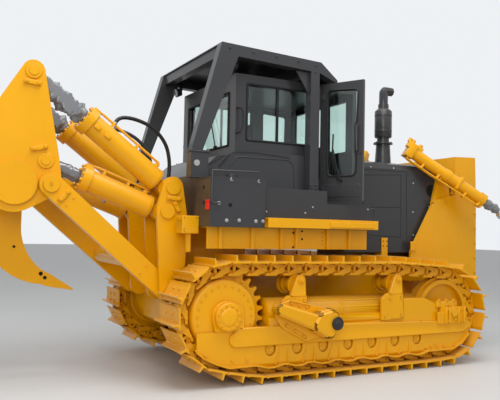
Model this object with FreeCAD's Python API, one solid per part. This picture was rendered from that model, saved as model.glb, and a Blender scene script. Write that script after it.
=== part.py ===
import FreeCAD, Part
import math
import os

# Track bulldozer of the 320 hp class with a raised single-shank ripper and no blade fitted.
# Millimetres. +X points forward, +Y to the machine's left, +Z up, and the tracks stand on z = 0.
# While it is built, x = 0 is the sprocket axis; at the end the whole machine is moved so that
# its origin lies under the middle of its outer box. Sizes named _Y are distances from the middle plane.

V = FreeCAD.Vector
FIT = 0.3                     # running clearance between curved faces that carry each other
GAP = 6.0                     # free space between pieces that move past each other

# Undercarriage
TRACK_Y = 1070.0              # middle of each track
SHOE_WIDTH = 560.0
SHOE_COUNT = 41
SHOE_PLATE = 18.0
SHOE_LAP = 9.0                # half of the gap between two neighbouring shoe plates
GROUSER_HEIGHT = 72.0
GROUSER_ROOT = 30.0
GROUSER_TIP = 16.0
GROUSER_BACK = 58.0           # from the middle of a shoe to its grouser
PIN_TO_SHOE = 65.0            # link pin up to the underside of the shoe
PIN_TO_RAIL = 79.0            # link pin down to the face that runs on the rollers
RAIL_INNER = 55.0             # half of the space between the two link rails
RAIL_THICK = 58.0
SPROCKET_Z = 735.0
SPROCKET_PIN_RADIUS = 496.0
SPROCKET_TEETH = 27
SPROCKET_WIDTH = 84.0
IDLER_X = 3118.0
IDLER_Z = 665.0
IDLER_PIN_RADIUS = 496.0
ROLLER_RADIUS = 118.0
ROLLER_COUNT = 7
ROLLER_FIRST_X = 545.0
ROLLER_TO_IDLER = 491.0       # from the last roller to the idler
FLAT_PAST_ROLLERS = 130.0     # how far the straight ground run goes past the end rollers
CARRIER_RADIUS = 98.0
CARRIERS = ((900.0, 1226.0), (IDLER_X - 828.0, 1218.0))       # x of the post, height of the pins above it
HUB_RADIUS = 385.0
FRAME_SIDE = 165.0            # middle of the track to the inside of the frame's side plates
FRAME_PLATE = 50.0
FRAME_BOTTOM_Z = 395.0
FRAME_TOP_Z = 610.0
FRAME_BOX_REAR_X = 535.0
FRAME_BOX_DEEP = 190.0
SPRING_TUBE_RADIUS = 150.0
IDLER_SHAFT = 85.0
PIVOT_SHAFT = 75.0
PIVOT_SHAFT_X = 640.0
EQUALIZER_X = (IDLER_X - 768.0, IDLER_X - 598.0)

# Main frame
HULL_Y = 450.0
HULL_REAR_X = -340.0
HULL_CASE_FRONT_X = 620.0
HULL_FRONT_X = 3060.0
HULL_BOTTOM_Z = 520.0
CASE_TOP_Z = 1440.0
RAIL_TOP_Z = 1250.0
FRAME_RAIL = 150.0            # width of each long frame rail beside the engine
DECK_Y = 1130.0
DECK_BOTTOM_Z = 1445.0
DECK_TOP_Z = 1680.0
DECK_REAR_X = -190.0
DECK_FRONT_X = 1930.0
DECK_RIBS = (-60.0, 330.0, 700.0, 900.0, 1330.0, 1640.0)

# Boxes beside the cab
BOX_Y = 1185.0
TANK_Y = BOX_Y + 105.0
TANK_FRONT_X = 425.0
TANK_REAR_X = DECK_REAR_X - 40.0
TANK_TOP_Z = 2210.0
CAB_Y = 800.0
BOX_INNER_Y = CAB_Y + 70.0
BOX_MID_X = 1310.0
BOX_MID_TOP_Z = 2125.0
BOX_FRONT_TOP_Z = 1975.0
STEP_Y = BOX_Y + 160.0
STEP_REAR_X = TANK_FRONT_X + 15.0
STEP_FRONT_X = DECK_FRONT_X + 5.0
STEP_TOP_Z = 1790.0
STEP_THICK = 105.0

# Cab and its protective frame
CAB_REAR_X = 280.0
CAB_FRONT_X = 2000.0
CAB_FLOOR_Z = 1840.0
CAB_TOP_Z = 3470.0
CAB_WALL = 50.0
CAB_FLOOR = 60.0
FENDER_TOP_Z = 2560.0
FENDER_REAR_X = -110.0
GLASS = 8.0
DOOR_REAR_X = CAB_FRONT_X - 595.0
DOOR_FRONT_X = CAB_FRONT_X - 15.0
DOOR_BOTTOM_Z = CAB_FLOOR_Z + 180.0
DOOR_TOP_Z = CAB_TOP_Z - 15.0
SIDE_WINDOW_X = (CAB_REAR_X + 150.0, DOOR_REAR_X - 95.0)
SIDE_WINDOW_Z = (CAB_TOP_Z - 770.0, CAB_TOP_Z - 110.0)
REAR_WINDOW_Y = CAB_Y - 180.0
REAR_WINDOW_Z = (CAB_TOP_Z - 830.0, CAB_TOP_Z - 200.0)
FRONT_WINDOW_Y = CAB_Y - 160.0
FRONT_WINDOW_Z = (CAB_TOP_Z - 780.0, CAB_TOP_Z - 130.0)
DOOR_THICK = 40.0
DOOR_OPEN = 64.0              # degrees that the right door stands open
HINGE_X = DOOR_REAR_X - 13.0
HINGE_Y = CAB_Y + 58.0
HINGE_RADIUS = 16.0
HINGE_LENGTH = 80.0
HINGE_HEIGHTS = (DOOR_BOTTOM_Z + 120.0, DOOR_TOP_Z - 200.0)
ROPS_Y = CAB_Y + 140.0
ROPS_POST = 120.0
ROPS_REAR_FOOT = (-285.0, 2500.0)
ROPS_REAR_TOP = (60.0, 3745.0)
ROPS_FRONT_X = BOX_MID_X - 70.0
ROPS_FRONT_TOP_Z = 3690.0
ROPS_BEAM = 130.0
ROPS_PLATE = 12.0
VISOR_X = ROPS_FRONT_X + 320.0
VISOR_Z = ROPS_FRONT_TOP_Z - 210.0

# Engine end
HOOD_Y = 560.0
HOOD_REAR_X = CAB_FRONT_X + 10.0
HOOD_FRONT_X = HULL_FRONT_X + 800.0
HOOD_TOP_Z = 2615.0
HOOD_BOTTOM_Z = 1395.0
HOOD_CORNER = 90.0
HOOD_SKIN = 25.0
ENGINE_X = (HOOD_REAR_X + 140.0, HULL_FRONT_X + 340.0)
ENGINE_Y = 290.0
ENGINE_Z = (1000.0, 2200.0)
HOOD_BRACKET_X = (HULL_FRONT_X - 450.0, HULL_FRONT_X - 350.0)
HOOD_BRACKET_TOP_Z = HOOD_BOTTOM_Z + 195.0
RAIL_END_X = HULL_FRONT_X + 1090.0
GUARD_Y = HOOD_Y + 80.0
GUARD_PLATE = 40.0
GUARD_STEP_Z = 1405.0
GUARD_SLANT = ((HULL_FRONT_X + 81.0, 1565.0), (HULL_FRONT_X + 417.0, 2126.0))     # ends of the slanted rear edge
GUARD_FRONT_X = HULL_FRONT_X + 1210.0
GUARD_BOTTOM_Z = 1010.0
GUARD_SIDE_TOP_Z = 2217.0
GUARD_TOP_Z = 2775.0
EXHAUST_X = HULL_FRONT_X - 200.0
EXHAUST_Y = -270.0
EXHAUST_TOP_Z = 3720.0
MUFFLER_RADIUS = 120.0
STACK_RADIUS = 62.0

# Blade lift cylinders on the guard
LIFT_Y = GUARD_Y + 110.0
LIFT_PIVOT = (HULL_FRONT_X + 520.0, 2470.0)
LIFT_SLOPE = -32.3            # degrees of the cylinder's axis below level
LIFT_TOE = 22.3               # degrees that the cylinder points outward
LIFT_BACK = 650.0             # pivot to the head end
LIFT_FRONT = 640.0            # pivot to the gland
LIFT_PIN_RADIUS = 36.0
LIFT_EAR_Y = (GUARD_Y - 68.0, GUARD_Y - 28.0)
LIFT_BARREL_RADIUS = 80.0
LIFT_ROD_RADIUS = 42.0
LIFT_ROD_OUT = 330.0          # gland to the rod's eye at rest
LIFT_EYE_RADIUS = 72.0

# Ripper, pins as (x, z)
ARM_ROOT = (HULL_REAR_X - 110.0, 950.0)
ARM_END = (HULL_REAR_X - 1400.0, 2078.0)
TILT_ROOT = (HULL_REAR_X - 100.0, 2107.0)
TILT_END = (HULL_REAR_X - 1595.0, 3245.0)
RAISE_ROOT = (HULL_REAR_X - 160.0, 1841.0)
RAISE_END = (HULL_REAR_X - 1445.0, 2325.0)
ARM_Y = (595.0, 690.0)
ARM_DEPTH = 118.0
PIN_RADIUS = 60.0
BRACKET_Y = (700.0, 750.0)
BRACKET_INNER_Y = (295.0, 340.0)
FRAME_PLATE_Y = (548.0, 589.0)
FRAME_INNER_Y = (366.0, 406.0)
CYLINDER_Y = 478.0
EYE_WIDTH = 112.0
CYLINDER_RADIUS = 128.0
GLAND_RADIUS = 155.0
GLAND_LENGTH = 95.0
GLAND_SEAL = 55.0             # inner length of the gland, round the rod
PISTON = 50.0
RIPPER_ROD_RADIUS = 64.0
TILT_BARREL = 1180.0          # root pin to the end of the gland
RAISE_BARREL = 965.0
BEAM_CENTRE = (HULL_REAR_X - 1750.0, 2085.0)
BEAM_RADIUS = 225.0
BEAM_NECK = 185.0             # the beam between the two plates of each side, clear of the cylinders' eyes
SHANK_THICK = 100.0
SHANK_FRONT_X = HULL_REAR_X - 1585.0
SHANK_WIDTH = 400.0
SHANK_TOP_Z = 2860.0
SHANK_BEND_Z = 1620.0         # where the shank begins to curve forward
NOSE = (SHANK_FRONT_X + 235.0, SHANK_BEND_Z - 455.0)      # upper corner of the shank's end
TIP = (NOSE[0] + 349.0, NOSE[1] - 230.0)


def box(x, y, z):
    return Part.makeBox(x[1] - x[0], y[1] - y[0], z[1] - z[0], V(x[0], y[0], z[0]))


def face_of(points):
    return Part.Face(Part.makePolygon(points + [points[0]]))


def slab_y(points, y):
    """A solid whose outline is given in x and z, between two planes across the machine."""
    return face_of([V(px, y[0], pz) for px, pz in points]).extrude(V(0, y[1] - y[0], 0))


def slab_x(points, x):
    """A solid whose outline is given in y and z, between two planes along the machine."""
    return face_of([V(x[0], py, pz) for py, pz in points]).extrude(V(x[1] - x[0], 0, 0))


def disc_y(centre, radius, y):
    return Part.makeCylinder(radius, y[1] - y[0], V(centre[0], y[0], centre[1]), V(0, 1, 0))


def ring_y(centre, outer, inner, y):
    return disc_y(centre, outer, y).cut(disc_y(centre, inner, (y[0] - 1, y[1] + 1)))


def bar(start, end, radius):
    return Part.makeCylinder(radius, (end - start).Length, start, end - start)


def mirrored(shape):
    return shape.mirror(V(0, 0, 0), V(0, 1, 0))


def both(shape):
    return [shape, mirrored(shape)]


def fused(shapes):
    whole = shapes[0].multiFuse(shapes[1:]) if len(shapes) > 1 else shapes[0]
    return whole.removeSplitter()


def unit(start, end):
    length = math.hypot(end[0] - start[0], end[1] - start[1])
    return ((end[0] - start[0]) / length, (end[1] - start[1]) / length)


def along(start, direction, distance, side=0.0):
    """The point at a distance along a direction in x and z, and a distance to its left."""
    return (start[0] + direction[0] * distance - direction[1] * side,
            start[1] + direction[1] * distance + direction[0] * side)


def outline_round(circles, y):
    """A plate whose edge runs in straight lines and arcs round circles given anticlockwise."""
    touching = []
    for index, (x, z, radius) in enumerate(circles):
        next_x, next_z, next_radius = circles[(index + 1) % len(circles)]
        dx, dz = unit((x, z), (next_x, next_z))
        lean = (radius - next_radius) / math.hypot(next_x - x, next_z - z)
        out = math.sqrt(1 - lean * lean)
        nx = dx * lean + dz * out
        nz = dz * lean - dx * out
        touching.append(((x + radius * nx, z + radius * nz),
                         (next_x + next_radius * nx, next_z + next_radius * nz)))
    edges = []
    for index, (x, z, radius) in enumerate(circles):
        start = touching[index - 1][1]
        end = touching[index][0]
        if radius > 0:
            first = math.atan2(start[1] - z, start[0] - x)
            turn = (math.atan2(end[1] - z, end[0] - x) - first) % (2 * math.pi)
            middle = (x + radius * math.cos(first + turn / 2), z + radius * math.sin(first + turn / 2))
            edges.append(Part.Arc(*[V(p[0], y[0], p[1]) for p in (start, middle, end)]).toShape())
        following = touching[index][1]
        edges.append(Part.makeLine(V(end[0], y[0], end[1]), V(following[0], y[0], following[1])))
    return Part.Face(Part.Wire(edges)).extrude(V(0, y[1] - y[0], 0))


# The track's loop
def tangent_to(point, centre, radius, side):
    """Where a line from a point touches a circle, on the side given by +1 or -1."""
    distance = math.hypot(point[0] - centre[0], point[1] - centre[1])
    to_point = math.atan2(point[1] - centre[1], point[0] - centre[0])
    angle = to_point + side * math.acos(radius / distance)
    return (centre[0] + radius * math.cos(angle), centre[1] + radius * math.sin(angle))


def pin_loop():
    """The pins' places, clockwise seen from the machine's right, spaced evenly along the loop."""
    ground = GROUSER_HEIGHT + SHOE_PLATE + PIN_TO_SHOE
    last_roller_x = IDLER_X - ROLLER_TO_IDLER
    sprocket = (0.0, SPROCKET_Z)
    idler = (IDLER_X, IDLER_Z)
    rear = (ROLLER_FIRST_X - FLAT_PAST_ROLLERS, ground)
    front = (last_roller_x + FLAT_PAST_ROLLERS, ground)
    corners = [tangent_to(rear, sprocket, SPROCKET_PIN_RADIUS, -1),
               tangent_to(CARRIERS[0], sprocket, SPROCKET_PIN_RADIUS, 1)]
    ends = [tangent_to(CARRIERS[1], idler, IDLER_PIN_RADIUS, -1),
            tangent_to(front, idler, IDLER_PIN_RADIUS, 1)]
    path = arc_points(sprocket, SPROCKET_PIN_RADIUS, corners[0], corners[1])
    path += [CARRIERS[0], CARRIERS[1]]
    path += arc_points(idler, IDLER_PIN_RADIUS, ends[0], ends[1])
    path += [front, rear, path[0]]
    lengths = [0.0]
    for start, end in zip(path, path[1:]):
        lengths.append(lengths[-1] + math.hypot(end[0] - start[0], end[1] - start[1]))
    pins = []
    for index in range(SHOE_COUNT):
        wanted = lengths[-1] * (index + 0.5) / SHOE_COUNT
        span = max(i for i, length in enumerate(lengths) if length <= wanted)
        direction = unit(path[span], path[span + 1])
        pins.append(along(path[span], direction, wanted - lengths[span]))
    return pins


def arc_points(centre, radius, start, end):
    first = math.atan2(start[1] - centre[1], start[0] - centre[0])
    last = math.atan2(end[1] - centre[1], end[0] - centre[0])
    turn = -((first - last) % (2 * math.pi))
    count = 48
    return [(centre[0] + radius * math.cos(first + turn * i / count),
             centre[1] + radius * math.sin(first + turn * i / count)) for i in range(count + 1)]


PINS = pin_loop()


def shoe_ring():
    """All shoes of one track as one outline: overlapping plates, each with one grouser."""
    outer = []
    inner = []
    top = PIN_TO_SHOE + SHOE_PLATE
    for index, start in enumerate(PINS):
        end = PINS[(index + 1) % SHOE_COUNT]
        direction = unit(start, end)
        half = math.hypot(end[0] - start[0], end[1] - start[1]) / 2
        middle = along(start, direction, half)
        flank = (GROUSER_ROOT - GROUSER_TIP) / 2
        bottom = PIN_TO_SHOE + SHOE_PLATE / 4
        # columns: place along the shoe, height above the pin line
        outline = ((SHOE_LAP - half, bottom),
                   (SHOE_LAP - half, top),
                   (-GROUSER_BACK - GROUSER_ROOT / 2, top),
                   (-GROUSER_BACK - GROUSER_ROOT / 2 + flank, top + GROUSER_HEIGHT),
                   (-GROUSER_BACK + GROUSER_ROOT / 2 - flank, top + GROUSER_HEIGHT),
                   (-GROUSER_BACK + GROUSER_ROOT / 2, top),
                   (half - SHOE_LAP, top),
                   (half - SHOE_LAP, bottom))
        outer += [along(middle, direction, place, height) for place, height in outline]
        inner.append(bisected(index, PIN_TO_SHOE))
    width = (TRACK_Y - SHOE_WIDTH / 2, TRACK_Y + SHOE_WIDTH / 2)
    return slab_y(outer, width).cut(slab_y(inner, (width[0] - 1, width[1] + 1)))


def bisected(index, offset):
    """A corner of the loop at a height above the pin line, on the bisector at one pin."""
    before = unit(PINS[index - 1], PINS[index])
    after = unit(PINS[index], PINS[(index + 1) % SHOE_COUNT])
    cosine = before[0] * after[0] + before[1] * after[1]
    reach = offset / math.sqrt((1 + cosine) / 2)
    mean = unit((0, 0), (before[0] + after[0], before[1] + after[1]))
    return along(PINS[index], mean, 0, reach)


def link_rails():
    """The two rows of links under the shoes, which run on the rollers."""
    outer = [bisected(i, PIN_TO_SHOE) for i in range(SHOE_COUNT)]
    inner = [bisected(i, -PIN_TO_RAIL) for i in range(SHOE_COUNT)]
    rails = []
    for y in ((TRACK_Y - RAIL_INNER - RAIL_THICK, TRACK_Y - RAIL_INNER),
              (TRACK_Y + RAIL_INNER, TRACK_Y + RAIL_INNER + RAIL_THICK)):
        rails.append(slab_y(outer, y).cut(slab_y(inner, (y[0] - 1, y[1] + 1))))
    return rails


def make_track():
    return fused([shoe_ring()] + link_rails())


# What the track runs on
def chord_radius(pin_radius):
    """Smallest distance from a wheel's axis to the face of the links that lie round it."""
    pitch = math.hypot(PINS[1][0] - PINS[0][0], PINS[1][1] - PINS[0][1])
    return math.sqrt(pin_radius ** 2 - (pitch / 2) ** 2) - PIN_TO_RAIL - FIT


def make_sprocket():
    """A ring of teeth that stand between the bushings, two for each shoe."""
    root = SPROCKET_PIN_RADIUS - 46
    tip = SPROCKET_PIN_RADIUS + 22
    step = 2 * math.pi / SPROCKET_TEETH
    points = []
    for tooth in range(SPROCKET_TEETH):
        # columns: share of the tooth's pitch, radius
        for share, radius in ((0.0, root), (0.22, root + 10), (0.38, tip), (0.62, tip), (0.78, root + 10)):
            angle = (tooth + share) * step
            points.append((radius * math.cos(angle), SPROCKET_Z + radius * math.sin(angle)))
    width = (TRACK_Y - SPROCKET_WIDTH / 2, TRACK_Y + SPROCKET_WIDTH / 2)
    return slab_y(points, width).cut(disc_y((0, SPROCKET_Z), HUB_RADIUS - 70, (width[0] - 1, width[1] + 1)))


def make_final_drive():
    """Reduction case from the hull to the sprocket, with the round cover and hub outside it."""
    centre = (0.0, SPROCKET_Z)
    outer_face = TRACK_Y + FRAME_SIDE - GAP
    inner_side = TRACK_Y - SPROCKET_WIDTH / 2
    outer_side = TRACK_Y + SPROCKET_WIDTH / 2
    parts = [disc_y(centre, 325, (HULL_Y, TRACK_Y - 110)),
             disc_y(centre, 360, (TRACK_Y - 110, inner_side)),
             disc_y(centre, HUB_RADIUS - 70 - FIT, (inner_side, outer_side)),
             disc_y(centre, HUB_RADIUS, (outer_side, outer_face - 45)),
             disc_y(centre, HUB_RADIUS - 22, (outer_face - 45, outer_face)),
             disc_y(centre, 150, (outer_face, outer_face + 40)),
             disc_y(centre, 138, (outer_face + 40, outer_face + 115))]
    return fused(parts)


def make_idler():
    tread = chord_radius(IDLER_PIN_RADIUS)
    centre = (IDLER_X, IDLER_Z)
    rim = RAIL_INNER + RAIL_THICK
    parts = [disc_y(centre, tread, (TRACK_Y - rim, TRACK_Y + rim)),
             disc_y(centre, tread + 30, (TRACK_Y - RAIL_INNER + GAP / 2, TRACK_Y + RAIL_INNER - GAP / 2))]
    wheel = fused(parts)
    for y in ((TRACK_Y - rim - 1, TRACK_Y - 40), (TRACK_Y + 40, TRACK_Y + rim + 1)):
        wheel = wheel.cut(ring_y(centre, tread - 55, 130, y))
    return fused([wheel, disc_y(centre, IDLER_SHAFT, (TRACK_Y - FRAME_SIDE - 30, TRACK_Y + FRAME_SIDE + 30))])


def make_roller(centre, radius):
    """A double roller: two treads under the link rails, flanges beside them and a thinner middle."""
    rim = RAIL_INNER + RAIL_THICK
    return fused([disc_y(centre, radius, (TRACK_Y - rim, TRACK_Y - RAIL_INNER)),
                  disc_y(centre, radius, (TRACK_Y + RAIL_INNER, TRACK_Y + rim)),
                  disc_y(centre, radius - 22, (TRACK_Y - RAIL_INNER, TRACK_Y + RAIL_INNER)),
                  disc_y(centre, radius + 20, (TRACK_Y - rim - 22, TRACK_Y - rim - 3)),
                  disc_y(centre, radius + 20, (TRACK_Y + rim + 3, TRACK_Y + rim + 22)),
                  disc_y(centre, 62, (TRACK_Y - FRAME_SIDE, TRACK_Y + FRAME_SIDE))])


def roller_centres():
    height = GROUSER_HEIGHT + SHOE_PLATE + PIN_TO_SHOE + PIN_TO_RAIL + FIT + ROLLER_RADIUS
    pitch = (IDLER_X - ROLLER_TO_IDLER - ROLLER_FIRST_X) / (ROLLER_COUNT - 1)
    return [(ROLLER_FIRST_X + index * pitch, height) for index in range(ROLLER_COUNT)]


def carrier_centre(post):
    return (post[0], post[1] - PIN_TO_RAIL - FIT - CARRIER_RADIUS - 2)


def make_rollers():
    wheels = [make_roller(centre, ROLLER_RADIUS) for centre in roller_centres()]
    for post in CARRIERS:
        wheels.append(make_roller(carrier_centre(post), CARRIER_RADIUS))
    return wheels


def frame_box_top():
    return roller_centres()[0][1] + ROLLER_RADIUS + 30 + FRAME_BOX_DEEP


def make_track_frame():
    """Long welded box over the rollers, with a side plate each side that holds their ends."""
    front_x = IDLER_X - IDLER_PIN_RADIUS + 50
    top = frame_box_top()
    inner = (TRACK_Y - FRAME_SIDE - FRAME_PLATE, TRACK_Y - FRAME_SIDE)
    outer = (TRACK_Y + FRAME_SIDE, TRACK_Y + FRAME_SIDE + FRAME_PLATE)
    parts = [box((FRAME_BOX_REAR_X, front_x), (inner[1], outer[0]), (top - FRAME_BOX_DEEP, top)),
             slab_y(((FRAME_BOX_REAR_X, top), (FRAME_BOX_REAR_X, 205), (front_x, 205), (IDLER_X + 180, 330),
                     (IDLER_X + 300, 330), (IDLER_X + 300, FRAME_TOP_Z), (front_x, top)), inner),
             slab_y(((-330, FRAME_TOP_Z - 40), (-330, FRAME_BOTTOM_Z), (-120, 235), (FRAME_BOX_REAR_X - 130, 205),
                     (front_x, 205), (IDLER_X + 180, 330), (IDLER_X + 380, 330), (IDLER_X + 380, FRAME_TOP_Z - 60),
                     (front_x, FRAME_TOP_Z)), outer)]
    tube_length = front_x - FRAME_BOX_REAR_X
    parts.append(Part.makeCylinder(SPRING_TUBE_RADIUS, tube_length, V(FRAME_BOX_REAR_X, TRACK_Y, top + 60),
                                   V(1, 0, 0)))
    for post in CARRIERS:
        x, z = carrier_centre(post)
        parts.append(outline_round(((x - 75, top - 60, 20), (x + 75, top - 60, 20), (x + 6, z, 58)), outer))
        parts.append(box((x - 60, x + 60), (outer[0] - 40, outer[0] + 1), (top - 60, top)))
    for y in (inner, outer):
        parts.append(outline_round(((IDLER_X - 130, FRAME_BOTTOM_Z + 80, 10), (IDLER_X + 130, FRAME_BOTTOM_Z + 80, 10),
                                    (IDLER_X, IDLER_Z, IDLER_SHAFT + 45)), y))
    parts.append(disc_y((PIVOT_SHAFT_X, FRAME_TOP_Z - 50), PIVOT_SHAFT, (HULL_Y, inner[1])))
    return fused(parts).cut(disc_y((IDLER_X, IDLER_Z), IDLER_SHAFT + FIT, (inner[0] - 1, outer[1] + 1)))


def make_trunnion():
    """Cast bracket on the outer side of the track frame with the ball for a blade's push arm."""
    inner = TRACK_Y + FRAME_SIDE + FRAME_PLATE
    body = outline_round(((640, 720, 70), (1080, 470, 60), (1250, 480, 60), (1230, 640, 90), (700, 860, 60)),
                         (inner, inner + 75))
    arm = outline_round(((700, 790, 55), (1180, 560, 70), (1200, 660, 70)), (inner + 75, inner + 215))
    ball = Part.makeSphere(82, V(1270, inner + 150, 632))
    return fused([body, arm, ball])


def make_equalizer():
    """Beam through the hull in front whose ends rest on the two track frames."""
    low = frame_box_top()
    reach = TRACK_Y - FRAME_SIDE - FIT
    return slab_x(((-reach, low), (reach, low), (reach, low + 70), (380, low + 100), (120, low + 130),
                   (-120, low + 130), (-380, low + 100), (-reach, low + 70)), EQUALIZER_X)


# Main frame and deck
def make_hull():
    case = slab_y(((HULL_REAR_X, 560), (-200, HULL_BOTTOM_Z), (HULL_CASE_FRONT_X, HULL_BOTTOM_Z),
                   (HULL_CASE_FRONT_X, CASE_TOP_Z), (HULL_REAR_X, CASE_TOP_Z)), (-HULL_Y, HULL_Y))
    parts = [case]
    rail = box((HULL_CASE_FRONT_X, HULL_FRONT_X), (HULL_Y - FRAME_RAIL, HULL_Y), (HULL_BOTTOM_Z + 30, RAIL_TOP_Z))
    bracket = [box(HOOD_BRACKET_X, (HULL_Y - 30, HOOD_Y + 15), (RAIL_TOP_Z - 20, HOOD_BOTTOM_Z - 5)),
               box(HOOD_BRACKET_X, (HOOD_Y, HOOD_Y + 15), (HOOD_BOTTOM_Z - 5, HOOD_BRACKET_TOP_Z))]
    horn = box((HULL_FRONT_X, RAIL_END_X), (HULL_Y - FRAME_RAIL, HULL_Y), (800, GUARD_BOTTOM_Z))
    parts += both(fused([rail, horn] + bracket))
    saddle_low = frame_box_top() + 130 + 2 * FIT
    for x, low in ((1100.0, 700.0), (1700.0, 700.0), (EQUALIZER_X[0], saddle_low), (HULL_FRONT_X - 170, 700.0)):
        parts.append(box((x, x + 170), (-HULL_Y + 20, HULL_Y - 20), (low, ENGINE_Z[0])))
    tunnel = box((EQUALIZER_X[0] - 10, EQUALIZER_X[1] + 10), (-HULL_Y - 1, HULL_Y + 1),
                 (frame_box_top() - 15, saddle_low))
    return fused(parts).cut(tunnel)


def make_belly_guard():
    return slab_y(((HULL_CASE_FRONT_X, HULL_BOTTOM_Z), (HULL_FRONT_X + 60, HULL_BOTTOM_Z),
                   (HULL_FRONT_X + 420, 760), (HULL_FRONT_X + 400, 790), (HULL_FRONT_X + 50, HULL_BOTTOM_Z + 30),
                   (HULL_CASE_FRONT_X, HULL_BOTTOM_Z + 30)), (-HULL_Y + 20, HULL_Y - 20))


def make_deck():
    """Floor frame over the tracks, with its folded side wall and upright ribs."""
    wall = 14.0
    outer = box((DECK_REAR_X, DECK_FRONT_X), (-DECK_Y, DECK_Y), (DECK_BOTTOM_Z, DECK_TOP_Z))
    inside = box((DECK_REAR_X - 1, DECK_FRONT_X + 1), (-DECK_Y + wall, DECK_Y - wall),
                 (DECK_BOTTOM_Z - 1, DECK_TOP_Z - wall))
    parts = [outer.cut(inside)]
    for x in DECK_RIBS:
        for side in (1, -1):
            y = sorted((side * (DECK_Y - wall), side * (DECK_Y + 32)))
            parts.append(box((x, x + 40), y, (DECK_BOTTOM_Z, DECK_TOP_Z)))
    parts.append(box((DECK_REAR_X + 60, HULL_CASE_FRONT_X - 60), (-HULL_Y + 20, HULL_Y - 20),
                     (CASE_TOP_Z, DECK_TOP_Z - wall)))
    return fused(parts)


def make_side_boxes():
    """Tank behind, battery and tool box ahead of it, and the fender against the cab."""
    tank = box((TANK_REAR_X, TANK_FRONT_X), (BOX_INNER_Y, TANK_Y), (DECK_TOP_Z, TANK_TOP_Z))
    mid = box((TANK_FRONT_X, BOX_MID_X), (BOX_INNER_Y, BOX_Y), (DECK_TOP_Z, BOX_MID_TOP_Z))
    front = box((BOX_MID_X, DECK_FRONT_X), (BOX_INNER_Y, BOX_Y), (DECK_TOP_Z, BOX_FRONT_TOP_Z))
    fender = outline_round(((FENDER_REAR_X + 20, DECK_TOP_Z + 20, 20), (BOX_MID_X - 20, DECK_TOP_Z + 20, 20),
                            (BOX_MID_X - 130, FENDER_TOP_Z - 130, 130), (300, FENDER_TOP_Z - 90, 90),
                            (FENDER_REAR_X + 40, 2300, 40)), (CAB_Y + 5, BOX_INNER_Y))
    return fused([tank, mid, front, fender])


def make_step():
    ledge = box((STEP_REAR_X, STEP_FRONT_X), (BOX_Y, STEP_Y), (STEP_TOP_Z - STEP_THICK, STEP_TOP_Z))
    return ledge.cut(box((STEP_REAR_X - 1, STEP_FRONT_X + 1), (BOX_Y + 12, STEP_Y - 12),
                         (STEP_TOP_Z - STEP_THICK - 1, STEP_TOP_Z - 12)))


def make_fuel_tank():
    return slab_y(((DECK_REAR_X, DECK_TOP_Z), (CAB_REAR_X - 10, DECK_TOP_Z), (CAB_REAR_X - 10, 2520),
                   (60, 2490), (DECK_REAR_X, 2260)), (-CAB_Y + 10, CAB_Y - 10))


# Cab
def make_cab_shell():
    shell = box((CAB_REAR_X, CAB_FRONT_X), (-CAB_Y, CAB_Y), (CAB_FLOOR_Z, CAB_TOP_Z))
    shell = shell.cut(box((CAB_REAR_X + CAB_WALL, CAB_FRONT_X - CAB_WALL), (-CAB_Y + CAB_WALL, CAB_Y - CAB_WALL),
                          (CAB_FLOOR_Z + CAB_FLOOR, CAB_TOP_Z - CAB_WALL)))
    for opening in window_openings():
        shell = shell.cut(opening)
    for side in (1, -1):
        y = sorted((side * (CAB_Y - CAB_WALL - 1), side * (CAB_Y + 1)))
        shell = shell.cut(box((DOOR_REAR_X + 30, DOOR_FRONT_X - 45), y, (DOOR_BOTTOM_Z + 30, DOOR_TOP_Z - 50)))
    base = box((CAB_REAR_X + 60, CAB_FRONT_X - 60), (-CAB_Y + 60, CAB_Y - 60), (DECK_TOP_Z, CAB_FLOOR_Z))
    hinges = []
    for z in HINGE_HEIGHTS:
        for low in (z - HINGE_LENGTH - FIT, z + HINGE_LENGTH + FIT):
            knuckle = Part.makeCylinder(HINGE_RADIUS, HINGE_LENGTH, V(HINGE_X, HINGE_Y, low))
            leaf = box((HINGE_X - 60, HINGE_X), (CAB_Y - 1, HINGE_Y), (low, low + HINGE_LENGTH))
            hinges += both(fused([knuckle, leaf]))
    return fused([shell, base] + hinges)


def window_openings():
    rear = box((CAB_REAR_X - 1, CAB_REAR_X + CAB_WALL + 1), (-REAR_WINDOW_Y, REAR_WINDOW_Y), REAR_WINDOW_Z)
    front = box((CAB_FRONT_X - CAB_WALL - 1, CAB_FRONT_X + 1), (-FRONT_WINDOW_Y, FRONT_WINDOW_Y), FRONT_WINDOW_Z)
    side = box(SIDE_WINDOW_X, (CAB_Y - CAB_WALL - 1, CAB_Y + 1), SIDE_WINDOW_Z)
    return [rear, front] + both(side)


def make_cab_glass():
    middle = CAB_WALL / 2
    rear = box((CAB_REAR_X + middle, CAB_REAR_X + middle + GLASS), (-REAR_WINDOW_Y, REAR_WINDOW_Y), REAR_WINDOW_Z)
    front = box((CAB_FRONT_X - middle - GLASS, CAB_FRONT_X - middle), (-FRONT_WINDOW_Y, FRONT_WINDOW_Y),
                FRONT_WINDOW_Z)
    side = box(SIDE_WINDOW_X, (CAB_Y - middle - GLASS, CAB_Y - middle), SIDE_WINDOW_Z)
    return [rear, front] + both(side)


def door_window(y):
    return outline_round(((DOOR_REAR_X + 170, 2380, 60), (DOOR_FRONT_X - 150, 2380, 60),
                          (DOOR_FRONT_X - 120, 3300, 50), (DOOR_REAR_X + 150, 3320, 50)), y)


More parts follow.
